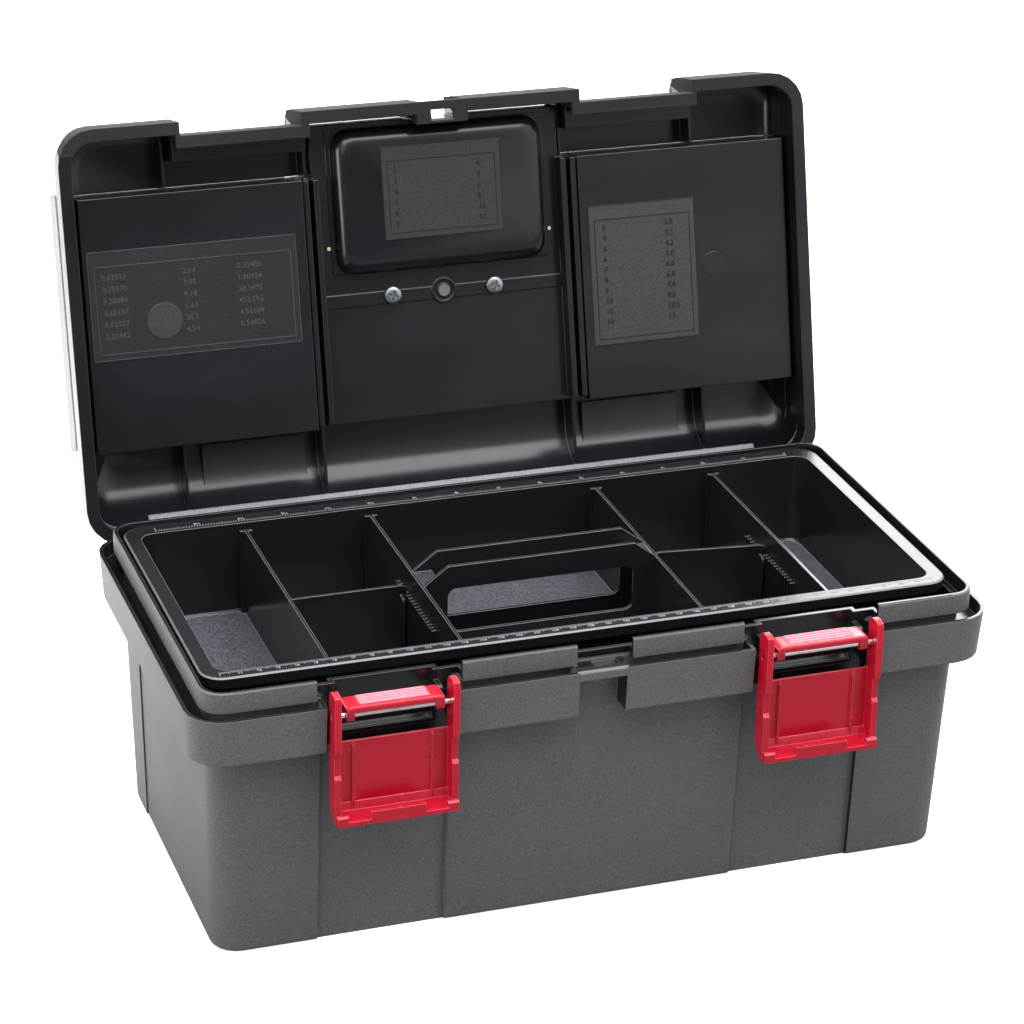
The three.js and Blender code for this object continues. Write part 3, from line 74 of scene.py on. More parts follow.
def strength(label, text, value):
    return bpy.props.FloatProperty(name=label, description=text, min=0.0, default=value)


def part_of(kind, label, text):
    return bpy.props.PointerProperty(type=kind, name=label, description=text)


class TOOLBOX_PG_shell(bpy.types.PropertyGroup):
    outside: colour("Outside", "Colour of the grained outer walls", (0.118, 0.118, 0.121))
    inside: colour("Inside", "Colour of the smooth inner walls", (0.004, 0.0045, 0.006))
    # Painted sheen: these paler clouds on the smooth walls stand in for reflections.
    sheen: colour("Sheen", "Colour of the paler clouds on the smooth walls", (0.014, 0.016, 0.02))
    grain: length("Grain", "Width of one pit of the moulded grain", 0.0008)
    grain_depth: length("Grain depth", "Depth of the moulded grain", 0.0002)
    grained_gloss: share("Grained roughness", "Roughness of the grained walls", 0.52)
    smooth_gloss: share("Smooth roughness", "Roughness of the smooth walls", 0.2)
    edge: length("Edge radius", "Softness of every moulded edge", 0.0008)
    # Painted highlight: edges that look up are lightened to this colour, in place of the light they catch.
    worn: colour("Edges", "Colour of edges that catch the light", (0.12, 0.125, 0.133))


class TOOLBOX_PG_tray(bpy.types.PropertyGroup):
    tub: colour("Tub", "Colour of the tray's walls", (0.0085, 0.0088, 0.0105))
    # Painted highlight: the tray's edges that look up are lightened to this colour.
    worn: colour("Edges", "Colour of the tray's edges that catch the light", (0.62, 0.64, 0.66))
    floor: colour("Floor", "Colour of the grained tray floor", (0.066, 0.07, 0.081))
    flange: colour("Flange", "Colour of the flange that carries the rulers", (0.01, 0.0106, 0.0125))
    gloss: share("Roughness", "Roughness of the tray's walls", 0.2)
    flange_gloss: share("Flange roughness", "Roughness of the flange that carries the rulers", 0.27)


class TOOLBOX_PG_latch(bpy.types.PropertyGroup):
    red: colour("Red", "Colour of the latches", (0.45, 0.004, 0.02))
    gloss: share("Roughness", "Roughness of the latches", 0.24)
    steel: colour("Rod", "Colour of the latch rods", (0.9, 0.9, 0.9))
    zinc: colour("Screws", "Colour of the zinc screws", (0.4, 0.42, 0.43))
    # Painted highlight: the latches' edges are lightened to this colour, in place of the light they catch.
    edge: colour("Edges", "Colour of the latches' pale edges", (0.85, 0.2, 0.28))
    # Painted highlight: the thumb ribs are lightened to this pale pink, in place of the light they catch.
    rubbed: colour("Thumb ribs", "Colour of the thumb ribs, which are rubbed pale", (0.75, 0.22, 0.29))


class TOOLBOX_PG_cover(bpy.types.PropertyGroup):
    clear: colour("Clear plastic", "Tint of the organiser covers", (0.09, 0.098, 0.107))
    gloss: share("Roughness", "Roughness of the organiser covers", 0.24)


class TOOLBOX_PG_mark(bpy.types.PropertyGroup):
    panel_left: colour("Left panel", "Colour of the rough panel on the left", (0.013, 0.0137, 0.0155))
    panel_centre: colour("Centre panel", "Colour of the rough panel in the middle", (0.026, 0.027, 0.03))
    panel_right: colour("Right panel", "Colour of the rough panel on the right", (0.04, 0.041, 0.045))
    panel_gloss: share("Roughness", "Roughness of the panels inside the lid", 0.4)
    figure: colour("Pale figures", "Colour of lines and numbers on the left panel", (0.05, 0.052, 0.057))
    dark: colour("Dark figures", "Colour of lines and numbers on the other panels", (0.006, 0.006, 0.007))
    rise: length("Rise", "How far a panel stands out of the lid", 0.00024)
    frame: length("Frame width", "Width of the raised line round a panel", 0.0007)
    digit: length("Digit height", "Height of the numbers on the panels", 0.0032)
    # Painted sheen: the lip is far paler than the lid's inside, standing in for the light strip that it
    # reflects.
    lip: colour("Rear lip", "Colour of the lip inside the lid's rear wall", (0.125, 0.13, 0.14))
    tone: colour("Ruler", "Colour of the ruler's marks", (0.3, 0.31, 0.33))
    tick: length("Tick width", "Width of one ruler mark", 0.0005)
    tick_rise: length("Tick rise", "How far a ruler mark stands up", 0.00014)


class TOOLBOX_PG_stage(bpy.types.PropertyGroup):
    floor: colour("Floor", "Colour of the floor and backdrop", (0.9, 0.9, 0.9))
    near: colour("Near floor", "Colour of the floor in front, as glossy walls mirror it", (0.2, 0.2, 0.2))
    glow: strength("Floor glow", "How far the floor is lifted to white, away from its shadow", 0.72)
    world: strength("World", "Strength of the light from behind and above", 0.8)
    front: strength("Front", "Strength of the light from the dark side of the room, at the front", 0.08)
    back: strength("Back lamp", "Power of the tall lamp behind, in watts", 44.0)
    top: strength("Top lamp", "Power of the large lamp above, in watts", 62.0)
    key: strength("Key lamp", "Power of the lamp at the front, in watts", 4.0)
    side: strength("Side lamp", "Power of the tall lamp on the left, in watts", 24.0)


# ---------- node helpers ----------
def times(tone, factor):
    """A colour made lighter or darker."""
    return [c * factor for c in tone]


def new_node(tree, kind, at=(0, 0), **options):
    """A node with these options set."""
    made = tree.nodes.new(kind)
    made.location = at
    for key, value in options.items():
        setattr(made, key, value)
    return made


def feed(tree, target, value):
    """Links an output, or sets a plain value, on an input socket."""
    if isinstance(value, bpy.types.NodeSocket):
        tree.links.new(value, target)
    else:
        target.default_value = value


def feed_all(tree, node, **values):
    """Feeds several inputs of a node, each named with _ for a space."""
    for key, value in values.items():
        feed(tree, node.inputs[key.replace("_", " ")], value)


def maths(tree, operation, a, b):
    """One sum on two values."""
    made = new_node(tree, "ShaderNodeMath", operation=operation)
    feed(tree, made.inputs[0], a)
    feed(tree, made.inputs[1], b)
    return made.outputs[0]


def both(tree, a, b):
    """The product of two masks."""
    return maths(tree, "MULTIPLY", a, b)


def either(tree, a, b):
    """The greater of two masks."""
    return maths(tree, "MAXIMUM", a, b)


def vector_maths(tree, operation, a, b=(0, 0, 0)):
    """One sum on two vectors, which gives a value where it is a dot product."""
    made = new_node(tree, "ShaderNodeVectorMath", operation=operation)
    feed(tree, made.inputs[0], a)
    feed(tree, made.inputs[1], b)
    return made.outputs["Value" if operation == "DOT_PRODUCT" else "Vector"]


def split(tree, vector):
    """The three parts of a vector."""
    made = new_node(tree, "ShaderNodeSeparateXYZ")
    feed(tree, made.inputs[0], vector)
    return made.outputs


def position(tree):
    """Where a point of a piece lies, with the piece at rest."""
    return new_node(tree, "ShaderNodeTexCoord").outputs["Object"]


def ramp(tree, value, low, high):
    """Nought up to the low value, one from the high one, and an even change between."""
    made = new_node(tree, "ShaderNodeMapRange", clamp=True)
    feed_all(tree, made, Value=value, From_Min=low, From_Max=high)
    return made.outputs["Result"]


def mix_colour(tree, mask, a, b):
    """Colour a where the mask is nought and b where it is one."""
    made = new_node(tree, "ShaderNodeMix", data_type="RGBA")
    feed(tree, made.inputs[0], mask)
    feed(tree, made.inputs[6], a if isinstance(a, bpy.types.NodeSocket) else (*a, 1.0))
    feed(tree, made.inputs[7], b if isinstance(b, bpy.types.NodeSocket) else (*b, 1.0))
    return made.outputs[2]


def mix_value(tree, mask, a, b):
    """Value a where the mask is nought and b where it is one."""
    made = new_node(tree, "ShaderNodeMix", data_type="FLOAT")
    feed(tree, made.inputs[0], mask)
    feed(tree, made.inputs[2], a)
    feed(tree, made.inputs[3], b)
    return made.outputs[0]


def noise(tree, where, scale, detail=2.0, roughness=0.5):
    """Soft noise between nought and one."""
    made = new_node(tree, "ShaderNodeTexNoise")
    feed_all(tree, made, Vector=where, Scale=scale, Detail=detail, Roughness=roughness)
    return made.outputs["Fac"]


def start_group(name, inputs, outputs):
    """A new group with its sockets: (name, kind, default) for inputs, (name, kind) for outputs."""
    group = bpy.data.node_groups.new(name, "ShaderNodeTree")
    for label, kind, default in inputs:
        socket = group.interface.new_socket(name=label, in_out="INPUT", socket_type="NodeSocket" + kind)
        socket.default_value = default
    for label, kind in outputs:
        group.interface.new_socket(name=label, in_out="OUTPUT", socket_type="NodeSocket" + kind)
    entry = new_node(group, "NodeGroupInput", (-800, 0))
    leave = new_node(group, "NodeGroupOutput", (800, 0))
    return group, entry.outputs, leave


def moulded_grain():
    """Fine pits of a spark-eroded mould, with a slower change of tone from the flow of the plastic."""
    group, get, leave = start_group(
        "moulded grain",
        [("Pit Width", "Float", 0.001), ("Flow Size", "Float", 0.09)],
        [("Height", "Float"), ("Tone", "Float"), ("Flow", "Float")],
    )
    where = position(group)
    per_metre = maths(group, "DIVIDE", 1.0, get["Pit Width"])
    pits = noise(group, where, per_metre, 3.0, 0.62)
    cells = new_node(group, "ShaderNodeTexVoronoi", feature="SMOOTH_F1")
    feed_all(group, cells, Vector=where, Scale=both(group, per_metre, 0.7))
    flow_scale = maths(group, "DIVIDE", 1.0, get["Flow Size"])
    drawn = vector_maths(group, "MULTIPLY", where, (0.45, 1.0, 1.6))
    feed_all(
        group,
        leave,
        Height=mix_value(group, 0.45, pits, cells.outputs["Distance"]),
        Tone=ramp(group, pits, 0.32, 0.7),
        Flow=ramp(group, noise(group, drawn, flow_scale, 4.0, 0.55), 0.3, 0.72),
    )
    return group


def soft_edges():
    """Rounded shading of moulded edges, with a mask of them all and one of those that look up, on which
    highlights are painted.
    """
    group, get, leave = start_group(
        "soft edges",
        [("Radius", "Float", 0.001)],
        [("Normal", "Vector"), ("Edge", "Float"), ("Turned", "Float")],
    )
    rounding = new_node(group, "ShaderNodeBevel", samples=6)
    feed(group, rounding.inputs["Radius"], get["Radius"])
    plain = new_node(group, "ShaderNodeNewGeometry").outputs["Normal"]
    alike = vector_maths(group, "DOT_PRODUCT", rounding.outputs["Normal"], plain)
    turned = ramp(group, alike, 0.985, 0.85)
    looks_up = ramp(group, split(group, rounding.outputs["Normal"])[2], 0.2, 0.55)
    edge = both(group, turned, looks_up)
    feed_all(group, leave, Normal=rounding.outputs["Normal"], Edge=edge, Turned=turned)
    return group


def box_mask():
    """One inside a box given by its centre and half sizes, and nought outside."""
    group, get, leave = start_group(
        "box mask",
        [
            ("Centre", "Vector", (0, 0, 0)),
            ("Half Size", "Vector", (1, 1, 1)),
            ("Softness", "Float", 0.0002),
        ],
        [("Mask", "Float")],
    )
    where = position(group)
    offset = vector_maths(group, "ABSOLUTE", vector_maths(group, "SUBTRACT", where, get["Centre"]))
    past = split(group, vector_maths(group, "SUBTRACT", offset, get["Half Size"]))
    furthest = either(group, either(group, past[0], past[1]), past[2])
    feed_all(group, leave, Mask=ramp(group, furthest, get["Softness"], 0.0))
    return group


def handling():
    """Short scuffs and dull patches from use, in loose groups."""
    group, get, leave = start_group(
        "handling",
        [("Spread", "Float", 0.03), ("Amount", "Float", 0.5)],
        [("Scuff", "Float"), ("Dull", "Float")],
    )
    where = position(group)
    drawn = vector_maths(group, "MULTIPLY", where, (1.0, 7.0, 3.0))
    lines = noise(group, drawn, maths(group, "DIVIDE", 4.0, get["Spread"]), 5.0, 0.7)
    patches = noise(group, where, maths(group, "DIVIDE", 1.0, get["Spread"]), 3.0, 0.5)
    kept = both(group, ramp(group, lines, 0.66, 0.74), ramp(group, patches, 0.5, 0.66))
    dull = both(group, ramp(group, patches, 0.35, 0.75), get["Amount"])
    feed_all(group, leave, Scuff=both(group, kept, get["Amount"]), Dull=dull)
    return group


def use_group(tree, name, **values):
    """Places a shared effect in a material, building it the first time."""
    makers = {
        "moulded grain": moulded_grain,
        "soft edges": soft_edges,
        "box mask": box_mask,
        "handling": handling,
    }
    group = bpy.data.node_groups.get(name) or makers[name]()
    made = new_node(tree, "ShaderNodeGroup", node_tree=group)
    feed_all(tree, made, **values)
    return made.outputs


def in_box(tree, centre, half_size):
    """The mask of a box, given in millimetres."""
    centre, half_size = [tuple(times(triple, MM)) for triple in (centre, half_size)]
    return use_group(tree, "box mask", Centre=centre, Half_Size=half_size)["Mask"]


def start_material(name):
    """A new material with only its shader and its output."""
    material = bpy.data.materials.new(name)
    material.use_nodes = True
    tree = material.node_tree
    tree.nodes.clear()
    shader = new_node(tree, "ShaderNodeBsdfPrincipled", (400, 0))
    output = new_node(tree, "ShaderNodeOutputMaterial", (700, 0))
    tree.links.new(shader.outputs["BSDF"], output.inputs["Surface"])
    return material, tree, shader


def bump(tree, height, normal, distance, amount):
    """The normal over a relief of this depth."""
    made = new_node(tree, "ShaderNodeBump")
    feed_all(tree, made, Strength=amount, Distance=distance, Height=height, Normal=normal)
    return made.outputs["Normal"]


def outward(tree):
    """One on faces that look away from the upright middle axis, nought on those that look towards it."""
    coords = new_node(tree, "ShaderNodeTexCoord")
    arm = vector_maths(tree, "MULTIPLY", coords.outputs["Object"], (1.0, 1.0, 0.0))
    arm = vector_maths(tree, "NORMALIZE", arm)
    return ramp(tree, vector_maths(tree, "DOT_PRODUCT", coords.outputs["Normal"], arm), 0.02, 0.12)


def height_mask(tree, low, high):
    """A mask of height: nought up to the low value and one from the high one, in millimetres."""
    return ramp(tree, split(tree, position(tree))[2], low * MM, high * MM)


SMOOTH_RELIEF = 0.012  # share of the grain's depth that is left on a smooth wall
DULL_ROUGHNESS = 0.9
SHARP_CORNER = math.radians(32)  # corners that turn more than this stay sharp


def two_finish_plastic(name, grained_mask, values, dull_mask=None):
    """Grained plastic where the first mask is one, smooth elsewhere, and dull where the second is one,
    with painted sheen and painted highlights on edges that look up.
    """
    material, tree, shader = start_material(name)
    outside = values.outside
    mask = grained_mask(tree)
    grain = use_group(tree, "moulded grain", Pit_Width=values.grain)
    edges = use_group(tree, "soft edges", Radius=values.edge)
    worn = use_group(tree, "handling", Spread=0.045, Amount=0.6)
    rough_tone = mix_colour(tree, grain["Tone"], times(outside, 0.55), times(outside, 1.45))
    rough_tone = mix_colour(tree, both(tree, grain["Flow"], 0.3), rough_tone, times(outside, 1.3))
    rough_tone = mix_colour(tree, worn["Scuff"], rough_tone, [c * 1.5 + 0.01 for c in outside])
    # Painted sheen: paler bluish clouds on the smooth walls stand in for reflections.
    painted_sheen_clouds = both(tree, grain["Flow"], mix_value(tree, grain["Tone"], 0.6, 1.0))
    smooth_tone = mix_colour(tree, painted_sheen_clouds, values.inside, values.sheen)
    base = mix_colour(tree, mask, smooth_tone, rough_tone)
    # Painted highlight: edges that look up are lightened towards the edge colour.
    base = mix_colour(tree, both(tree, edges["Edge"], 0.7), base, values.worn)
    smooth = mix_value(tree, worn["Dull"], values.smooth_gloss, values.smooth_gloss + 0.07)
    grained = mix_value(tree, grain["Flow"], values.grained_gloss - 0.04, values.grained_gloss + 0.05)
    rough = mix_value(tree, mask, smooth, grained)
    if dull_mask:
        rough = mix_value(tree, dull_mask(tree), rough, DULL_ROUGHNESS)
    height = both(tree, grain["Height"], mix_value(tree, mask, SMOOTH_RELIEF, 1.0))
    normal = bump(tree, height, edges["Normal"], values.grain_depth, 0.8)
    feed_all(tree, shader, Base_Color=base, Roughness=rough, Normal=normal)
    return material


def smooth_rounds():
    """A modifier's node group that shades rounded faces as one curve and keeps real corners sharp."""
    group = bpy.data.node_groups.new("smooth rounds", "GeometryNodeTree")
    group.interface.new_socket(name="Geometry", in_out="INPUT", socket_type="NodeSocketGeometry")
    group.interface.new_socket(name="Geometry", in_out="OUTPUT", socket_type="NodeSocketGeometry")
    steps = [
        new_node(group, "NodeGroupInput"),
        new_node(group, "GeometryNodeRemoveAttribute"),
        new_node(group, "GeometryNodeMergeByDistance"),
        new_node(group, "GeometryNodeSetShadeSmooth", domain="FACE"),
        new_node(group, "GeometryNodeSetShadeSmooth", domain="EDGE"),
        new_node(group, "NodeGroupOutput"),
    ]
    for before, after in zip(steps, steps[1:]):
        group.links.new(before.outputs[0], after.inputs[0])
    steps[1].inputs["Name"].default_value = "custom_normal"
    steps[2].inputs["Distance"].default_value = 0.01 * MM
    steps[4].inputs["Shade Smooth"].default_value = False
    corner = new_node(group, "FunctionNodeCompare", operation="GREATER_THAN")
    corner.inputs[1].default_value = SHARP_CORNER
    angle = new_node(group, "GeometryNodeInputMeshEdgeAngle")
    group.links.new(angle.outputs["Unsigned Angle"], corner.inputs[0])
    group.links.new(corner.outputs[0], steps[4].inputs["Selection"])
    return group


def finish_nodes(material, *names):
    """Gives every face of these CAD nodes one material, and smooths the shading of their rounds."""
    for name in names:
        node = frame["nodes"][name]
        node.data.materials.clear()
        node.data.materials.append(material)
        rounds = node.modifiers.new("smooth rounds", "NODES")
        rounds.node_group = bpy.data.node_groups.get("smooth rounds") or smooth_rounds()


def settings():
    """The values in the panel."""
    return bpy.context.scene.toolbox


class TOOLBOX_PG_all(bpy.types.PropertyGroup):
    shell: part_of(TOOLBOX_PG_shell, "Shell", "Body and lid")
    tray: part_of(TOOLBOX_PG_tray, "Tray", "Tray and dividers")
    latch: part_of(TOOLBOX_PG_latch, "Latches", "Latches and metal")
    cover: part_of(TOOLBOX_PG_cover, "Covers", "Organiser covers")
    mark: part_of(TOOLBOX_PG_mark, "Marks", "Panels, numbers and rulers")
    stage: part_of(TOOLBOX_PG_stage, "Stage", "Floor, lamps and camera")


# ---------- body ----------
LID_LINE = 151.0  # the lid shuts down to this height, in millimetres
TAB_MIDDLE, TAB_HALF = 156.0, 5.8  # middle height and half height of the collar's tabs


def body_grained(tree):
    """Outer walls below the lid line, the collar's tabs and ends, but no latch pockets."""
    outer = outward(tree)
    low = height_mask(tree, LID_LINE + 0.2, LID_LINE - 0.2)
    tabs = in_box(tree, (0, -109.2, TAB_MIDDLE), (200, 0.3, TAB_HALF))
    for side in (-1, 1):
        end = in_box(tree, (side * 208.2, 0, TAB_MIDDLE), (8.5, 109.5, TAB_HALF))
        tabs = either(tree, tabs, both(tree, end, outer))
    grained = either(tree, both(tree, outer, low), tabs)
    for side in (-1, 1):
        pocket = in_box(tree, (side * 117.5, -100, 141), (35.4, 16.5, 22))
        grained = both(tree, grained, maths(tree, "SUBTRACT", 1.0, pocket))
    return grained


class TOOLBOX_OT_finish_body(bpy.types.Operator):
    """Grained outside and smooth inside of the body"""

    bl_idname = "toolbox.finish_body"
    bl_label = "Finish body"

    def execute(self, context):
        finish_nodes(two_finish_plastic("body plastic", body_grained, settings().shell), "body_shell")
        return {"FINISHED"}


# ---------- lid ----------
LID_OPEN = math.radians(103.7)
LID_PIVOT = Vector((0, 116.3, 143.4)) * MM
CROWN_FOOT = 164.0  # height at which the shut lid's crown begins, in millimetres
FRONT_WALL = 355.0  # height of the open lid's front wall, in millimetres


def lid_place():
    """The matrix that opens the lid from shut."""
    turn = Matrix.Rotation(-LID_OPEN, 4, "X")
    return Matrix.Translation(LID_PIVOT) @ turn @ Matrix.Translation(-LID_PIVOT)


def lid_point(x, y, z):
    """A point of the shut lid, in millimetres, where it lies on the open lid, in metres."""
    return lid_place() @ (Vector((x, y, z)) * MM)


def lid_grained(tree):
    """The lid's crown, above its flange."""
    top = (lid_point(0, 0, 200) - lid_point(0, 0, 190)).normalized()
    coords = new_node(tree, "ShaderNodeTexCoord")
    above = vector_maths(tree, "SUBTRACT", coords.outputs["Object"], tuple(lid_point(0, 0, CROWN_FOOT)))
    high = ramp(tree, vector_maths(tree, "DOT_PRODUCT", above, tuple(top)), 0.0, 0.0005)
    crown = ramp(tree, vector_maths(tree, "DOT_PRODUCT", coords.outputs["Normal"], tuple(top)), 0.2, 0.35)
    return both(tree, crown, high)


def lid_dull(tree):
    """The outside of the lid's front wall, which looks up when the lid is open."""
    return height_mask(tree, FRONT_WALL - 0.5, FRONT_WALL + 0.5)


class TOOLBOX_OT_finish_lid(bpy.types.Operator):
    """Smooth inside and grained outside of the lid, its handle and its bracket"""

    bl_idname = "toolbox.finish_lid"
    bl_label = "Finish lid"

    def execute(self, context):
        values = settings().shell
        lid = two_finish_plastic("lid plastic", lid_grained, values, lid_dull)
        finish_nodes(lid, "lid_shell", "lid_centre")
        well = two_finish_plastic("well plastic", lambda tree: 0.0, values)
        finish_nodes(well, "organiser_well_left", "organiser_well_right")
        grip = two_finish_plastic("handle plastic", lambda tree: 1.0, values)
        finish_nodes(grip, "carry_handle", "handle_bracket")
        return {"FINISHED"}


# ---------- tray ----------
FLOOR_LEVEL = 105.45  # the tray's floor is grained below this height, in millimetres
FLANGE_LEVEL = 158.3  # its flange is grained above this one
RIM_LEVEL = 156.7  # and a highlight is painted on its rim above this one


def tray_material(values, edge):
    """Glossy walls with a grained floor and flange, and a highlight painted on its rim and on its edges
    that look up.
    """
    material, tree, shader = start_material("tray plastic")
    grain = use_group(tree, "moulded grain", Pit_Width=0.0012)
    edges = use_group(tree, "soft edges", Radius=edge * 0.65)
    worn = use_group(tree, "handling", Spread=0.03, Amount=0.7)
    up = split(tree, new_node(tree, "ShaderNodeTexCoord").outputs["Normal"])[2]
    bridge = both(tree, in_box(tree, (0, 2.2, 140), (68, 9.5, 15.5)), ramp(tree, up, 0.5, 0.8))
    low = either(tree, height_mask(tree, FLOOR_LEVEL + 0.15, FLOOR_LEVEL - 0.15), bridge)
    high = height_mask(tree, FLANGE_LEVEL - 0.1, FLANGE_LEVEL + 0.1)
    walls = mix_colour(tree, grain["Flow"], values.tub, times(values.tub, 1.3))
    walls = mix_colour(tree, high, walls, values.flange)
    floor = mix_colour(tree, grain["Tone"], times(values.floor, 0.25), times(values.floor, 1.9))
    base = mix_colour(tree, low, walls, floor)
    base = mix_colour(tree, both(tree, worn["Scuff"], 0.6), base, (0.05, 0.052, 0.056))
    # Painted highlight: the rounded rim of the flange and edges that look up are lightened, as if they
    # catch the light.
    rim_highlight = both(tree, ramp(tree, up, 0.3, 0.45), ramp(tree, up, 0.9, 0.75))
    rim_highlight = both(tree, rim_highlight, height_mask(tree, RIM_LEVEL - 0.1, RIM_LEVEL + 0.1))
    rim_highlight = both(tree, rim_highlight, mix_value(tree, in_box(tree, (0, 0, 160), (120, 30, 10)), 0.5, 0.0))
    base = mix_colour(tree, both(tree, either(tree, edges["Edge"], rim_highlight), 0.62), base, values.worn)
    gloss = mix_value(tree, worn["Dull"], values.gloss, values.gloss + 0.08)
    gloss = mix_value(tree, high, gloss, values.flange_gloss)
    gloss = mix_value(tree, low, gloss, 0.5)
    rough = either(tree, low, both(tree, high, 0.7))
    height = both(tree, grain["Height"], mix_value(tree, rough, 0.02, 1.0))
    normal = bump(tree, height, edges["Normal"], 0.18 * MM, 0.8)
    feed_all(tree, shader, Base_Color=base, Roughness=gloss, Normal=normal)
    return material


class TOOLBOX_OT_finish_tray(bpy.types.Operator):
    """Glossy tray with a grained floor, and its dividers"""

    bl_idname = "toolbox.finish_tray"
    bl_label = "Finish tray"

    def execute(self, context):
        material = tray_material(settings().tray, settings().shell.edge)
        finish_nodes(material, "tray", "tray_divider_left", "tray_divider_right")
        return {"FINISHED"}


# ---------- latches and metal ----------
def latch_material(values, edge):
    """Red plastic with painted highlights on its edges and thumb ribs, and light scuffs."""
    material, tree, shader = start_material("latch plastic")
    edges = use_group(tree, "soft edges", Radius=edge * 0.6)
    grain = use_group(tree, "moulded grain", Pit_Width=0.0006, Flow_Size=0.02)
    worn = use_group(tree, "handling", Spread=0.012, Amount=0.5)
    base = mix_colour(tree, grain["Flow"], values.red, times(values.red, 1.2))
    # Painted highlight: the latches' edges, most of all those that look up, are lightened.
    pale = either(tree, edges["Edge"], both(tree, edges["Turned"], 0.6))
    base = mix_colour(tree, both(tree, pale, 0.75), base, values.edge)
    base = mix_colour(tree, worn["Scuff"], base, (0.62, 0.1, 0.12))
    # Painted highlight: the thumb ribs are lightened as if they catch the light.
    for side in (-1, 1):
        ribs = in_box(tree, (side * LATCH_X, -115.3, RIB_TOP), (19, 5.4, 0.3))
        base = mix_colour(tree, ribs, base, values.rubbed)
    rough = mix_value(tree, worn["Dull"], values.gloss, values.gloss + 0.1)
    normal = bump(tree, grain["Height"], edges["Normal"], 0.03 * MM, 0.5)
    feed_all(tree, shader, Base_Color=base, Roughness=rough, Normal=normal)
    feed_all(tree, shader, Subsurface_Weight=0.12, Subsurface_Radius=(0.0015, 0.0003, 0.0003))
    return material


def metal_material(name, tone, rough, drawn, edge, painted_recess_shade=1.0):
    """Drawn or plated steel, with fine lines, a little tarnish and, where asked for, painted shade in its
    recesses.
    """
    material, tree, shader = start_material(name)
    where = position(tree)
    lines = noise(tree, vector_maths(tree, "MULTIPLY", where, drawn), 900.0, 3.0, 0.6)
    tarnish = noise(tree, where, 160.0, 4.0, 0.6)
    base = mix_colour(tree, ramp(tree, tarnish, 0.45, 0.75), tone, times(tone, 0.7))
    # Painted shade: where ambient occlusion finds a recess, the colour is darkened by the given factor.
    hollow = new_node(tree, "ShaderNodeAmbientOcclusion", samples=6)
    hollow.inputs["Distance"].default_value = 0.0012
    recess = ramp(tree, hollow.outputs["AO"], 0.45, 0.85)
    base = mix_colour(tree, recess, times(tone, painted_recess_shade), base)
    rough = mix_value(tree, lines, rough - 0.06, rough + 0.1)
    normal = bump(tree, lines, use_group(tree, "soft edges", Radius=edge)["Normal"], 0.02 * MM, 0.4)
    feed_all(tree, shader, Base_Color=base, Metallic=1.0, Roughness=rough, Normal=normal)
    return material


class TOOLBOX_OT_finish_latches(bpy.types.Operator):
    """Red latch links and levers, bright rods, hinge pins and screws"""

    bl_idname = "toolbox.finish_latches"
    bl_label = "Finish latches and metal"

    def execute(self, context):
        values = settings().latch
        red = latch_material(values, settings().shell.edge)
        bright = metal_material("rod steel", values.steel, 0.15, (0.05, 1.0, 1.0), 0.0001)
        # Painted shade: the screws' recesses are darkened to a tenth of their tone.
        zinc = metal_material("zinc plate", values.zinc, 0.3, (1.0, 1.0, 1.0), 0.0002, 0.1)
        for side in ("left", "right"):
            finish_nodes(red, f"latch_{side}_lever")
            finish_nodes(bright, f"latch_{side}_rod", f"hinge_pin_{side}", f"handle_pin_{side}")
            finish_nodes(zinc, f"lid_screw_{side}")
        return {"FINISHED"}


# ---------- organiser covers ----------
def cover_material(values):
    """Thin tinted plastic, lightly scuffed and denser at its edges."""
    material, tree, shader = start_material("clear plastic")
    worn = use_group(tree, "handling", Spread=0.03, Amount=0.8)
    edges = use_group(tree, "soft edges", Radius=0.0006)
    base = mix_colour(tree, worn["Scuff"], values.clear, (0.6, 0.6, 0.6))
    rough = mix_value(tree, worn["Dull"], values.gloss, values.gloss + 0.12)
    alpha = mix_value(tree, edges["Edge"], 0.46, 0.72)
    feed_all(tree, shader, Base_Color=base, Roughness=rough, Alpha=alpha, Normal=edges["Normal"])
    shader.inputs["Specular IOR Level"].default_value = 0.18
    return material


class TOOLBOX_OT_finish_covers(bpy.types.Operator):
    """Clear covers of the lid's organisers"""

    bl_idname = "toolbox.finish_covers"
    bl_label = "Finish covers"

    def execute(self, context):
        material = cover_material(settings().cover)
        finish_nodes(material, "organiser_cover_left", "organiser_cover_right")
        return {"FINISHED"}


# ---------- raised marks ----------
TRAY_FLANGE = 158.5  # top of the tray's flange, in millimetres
LID_UNDER = 159.2  # underside of the wells and of the hand pocket
FINE_GRAIN = 0.04 * MM
FOOT = -0.2 * MM  # how far a raised mark reaches into its wall


def facing(origin, across, up):
    """The matrix of a flat face: u runs across it, v up it and w out of it."""
    across, up = Vector(across), Vector(up)
    turn = Matrix((across, up, across.cross(up))).transposed().to_4x4()
    return Matrix.Translation(Vector(origin)) @ turn


def inside_of_lid(x, y, z=LID_UNDER):
    """A face on the underside of the open lid, at a point given on the shut lid in millimetres."""
    return lid_place() @ facing((x * MM, y * MM, z * MM), (1, 0, 0), (0, -1, 0))


def lofted(rings, closed_ends=True):
    """Points and faces of one body through rings of points, all of the same number."""
    count = len(rings[0])
    points = [point for ring in rings for point in ring]
    faces = []
    for level in range(len(rings) - 1):
        low, high = level * count, (level + 1) * count
        faces += [(low + i, low + (i + 1) % count, high + (i + 1) % count, high + i) for i in range(count)]
    if closed_ends:
        faces.append(tuple(reversed(range(count))))
        faces.append(tuple(range(len(points) - count, len(points))))
    return points, faces


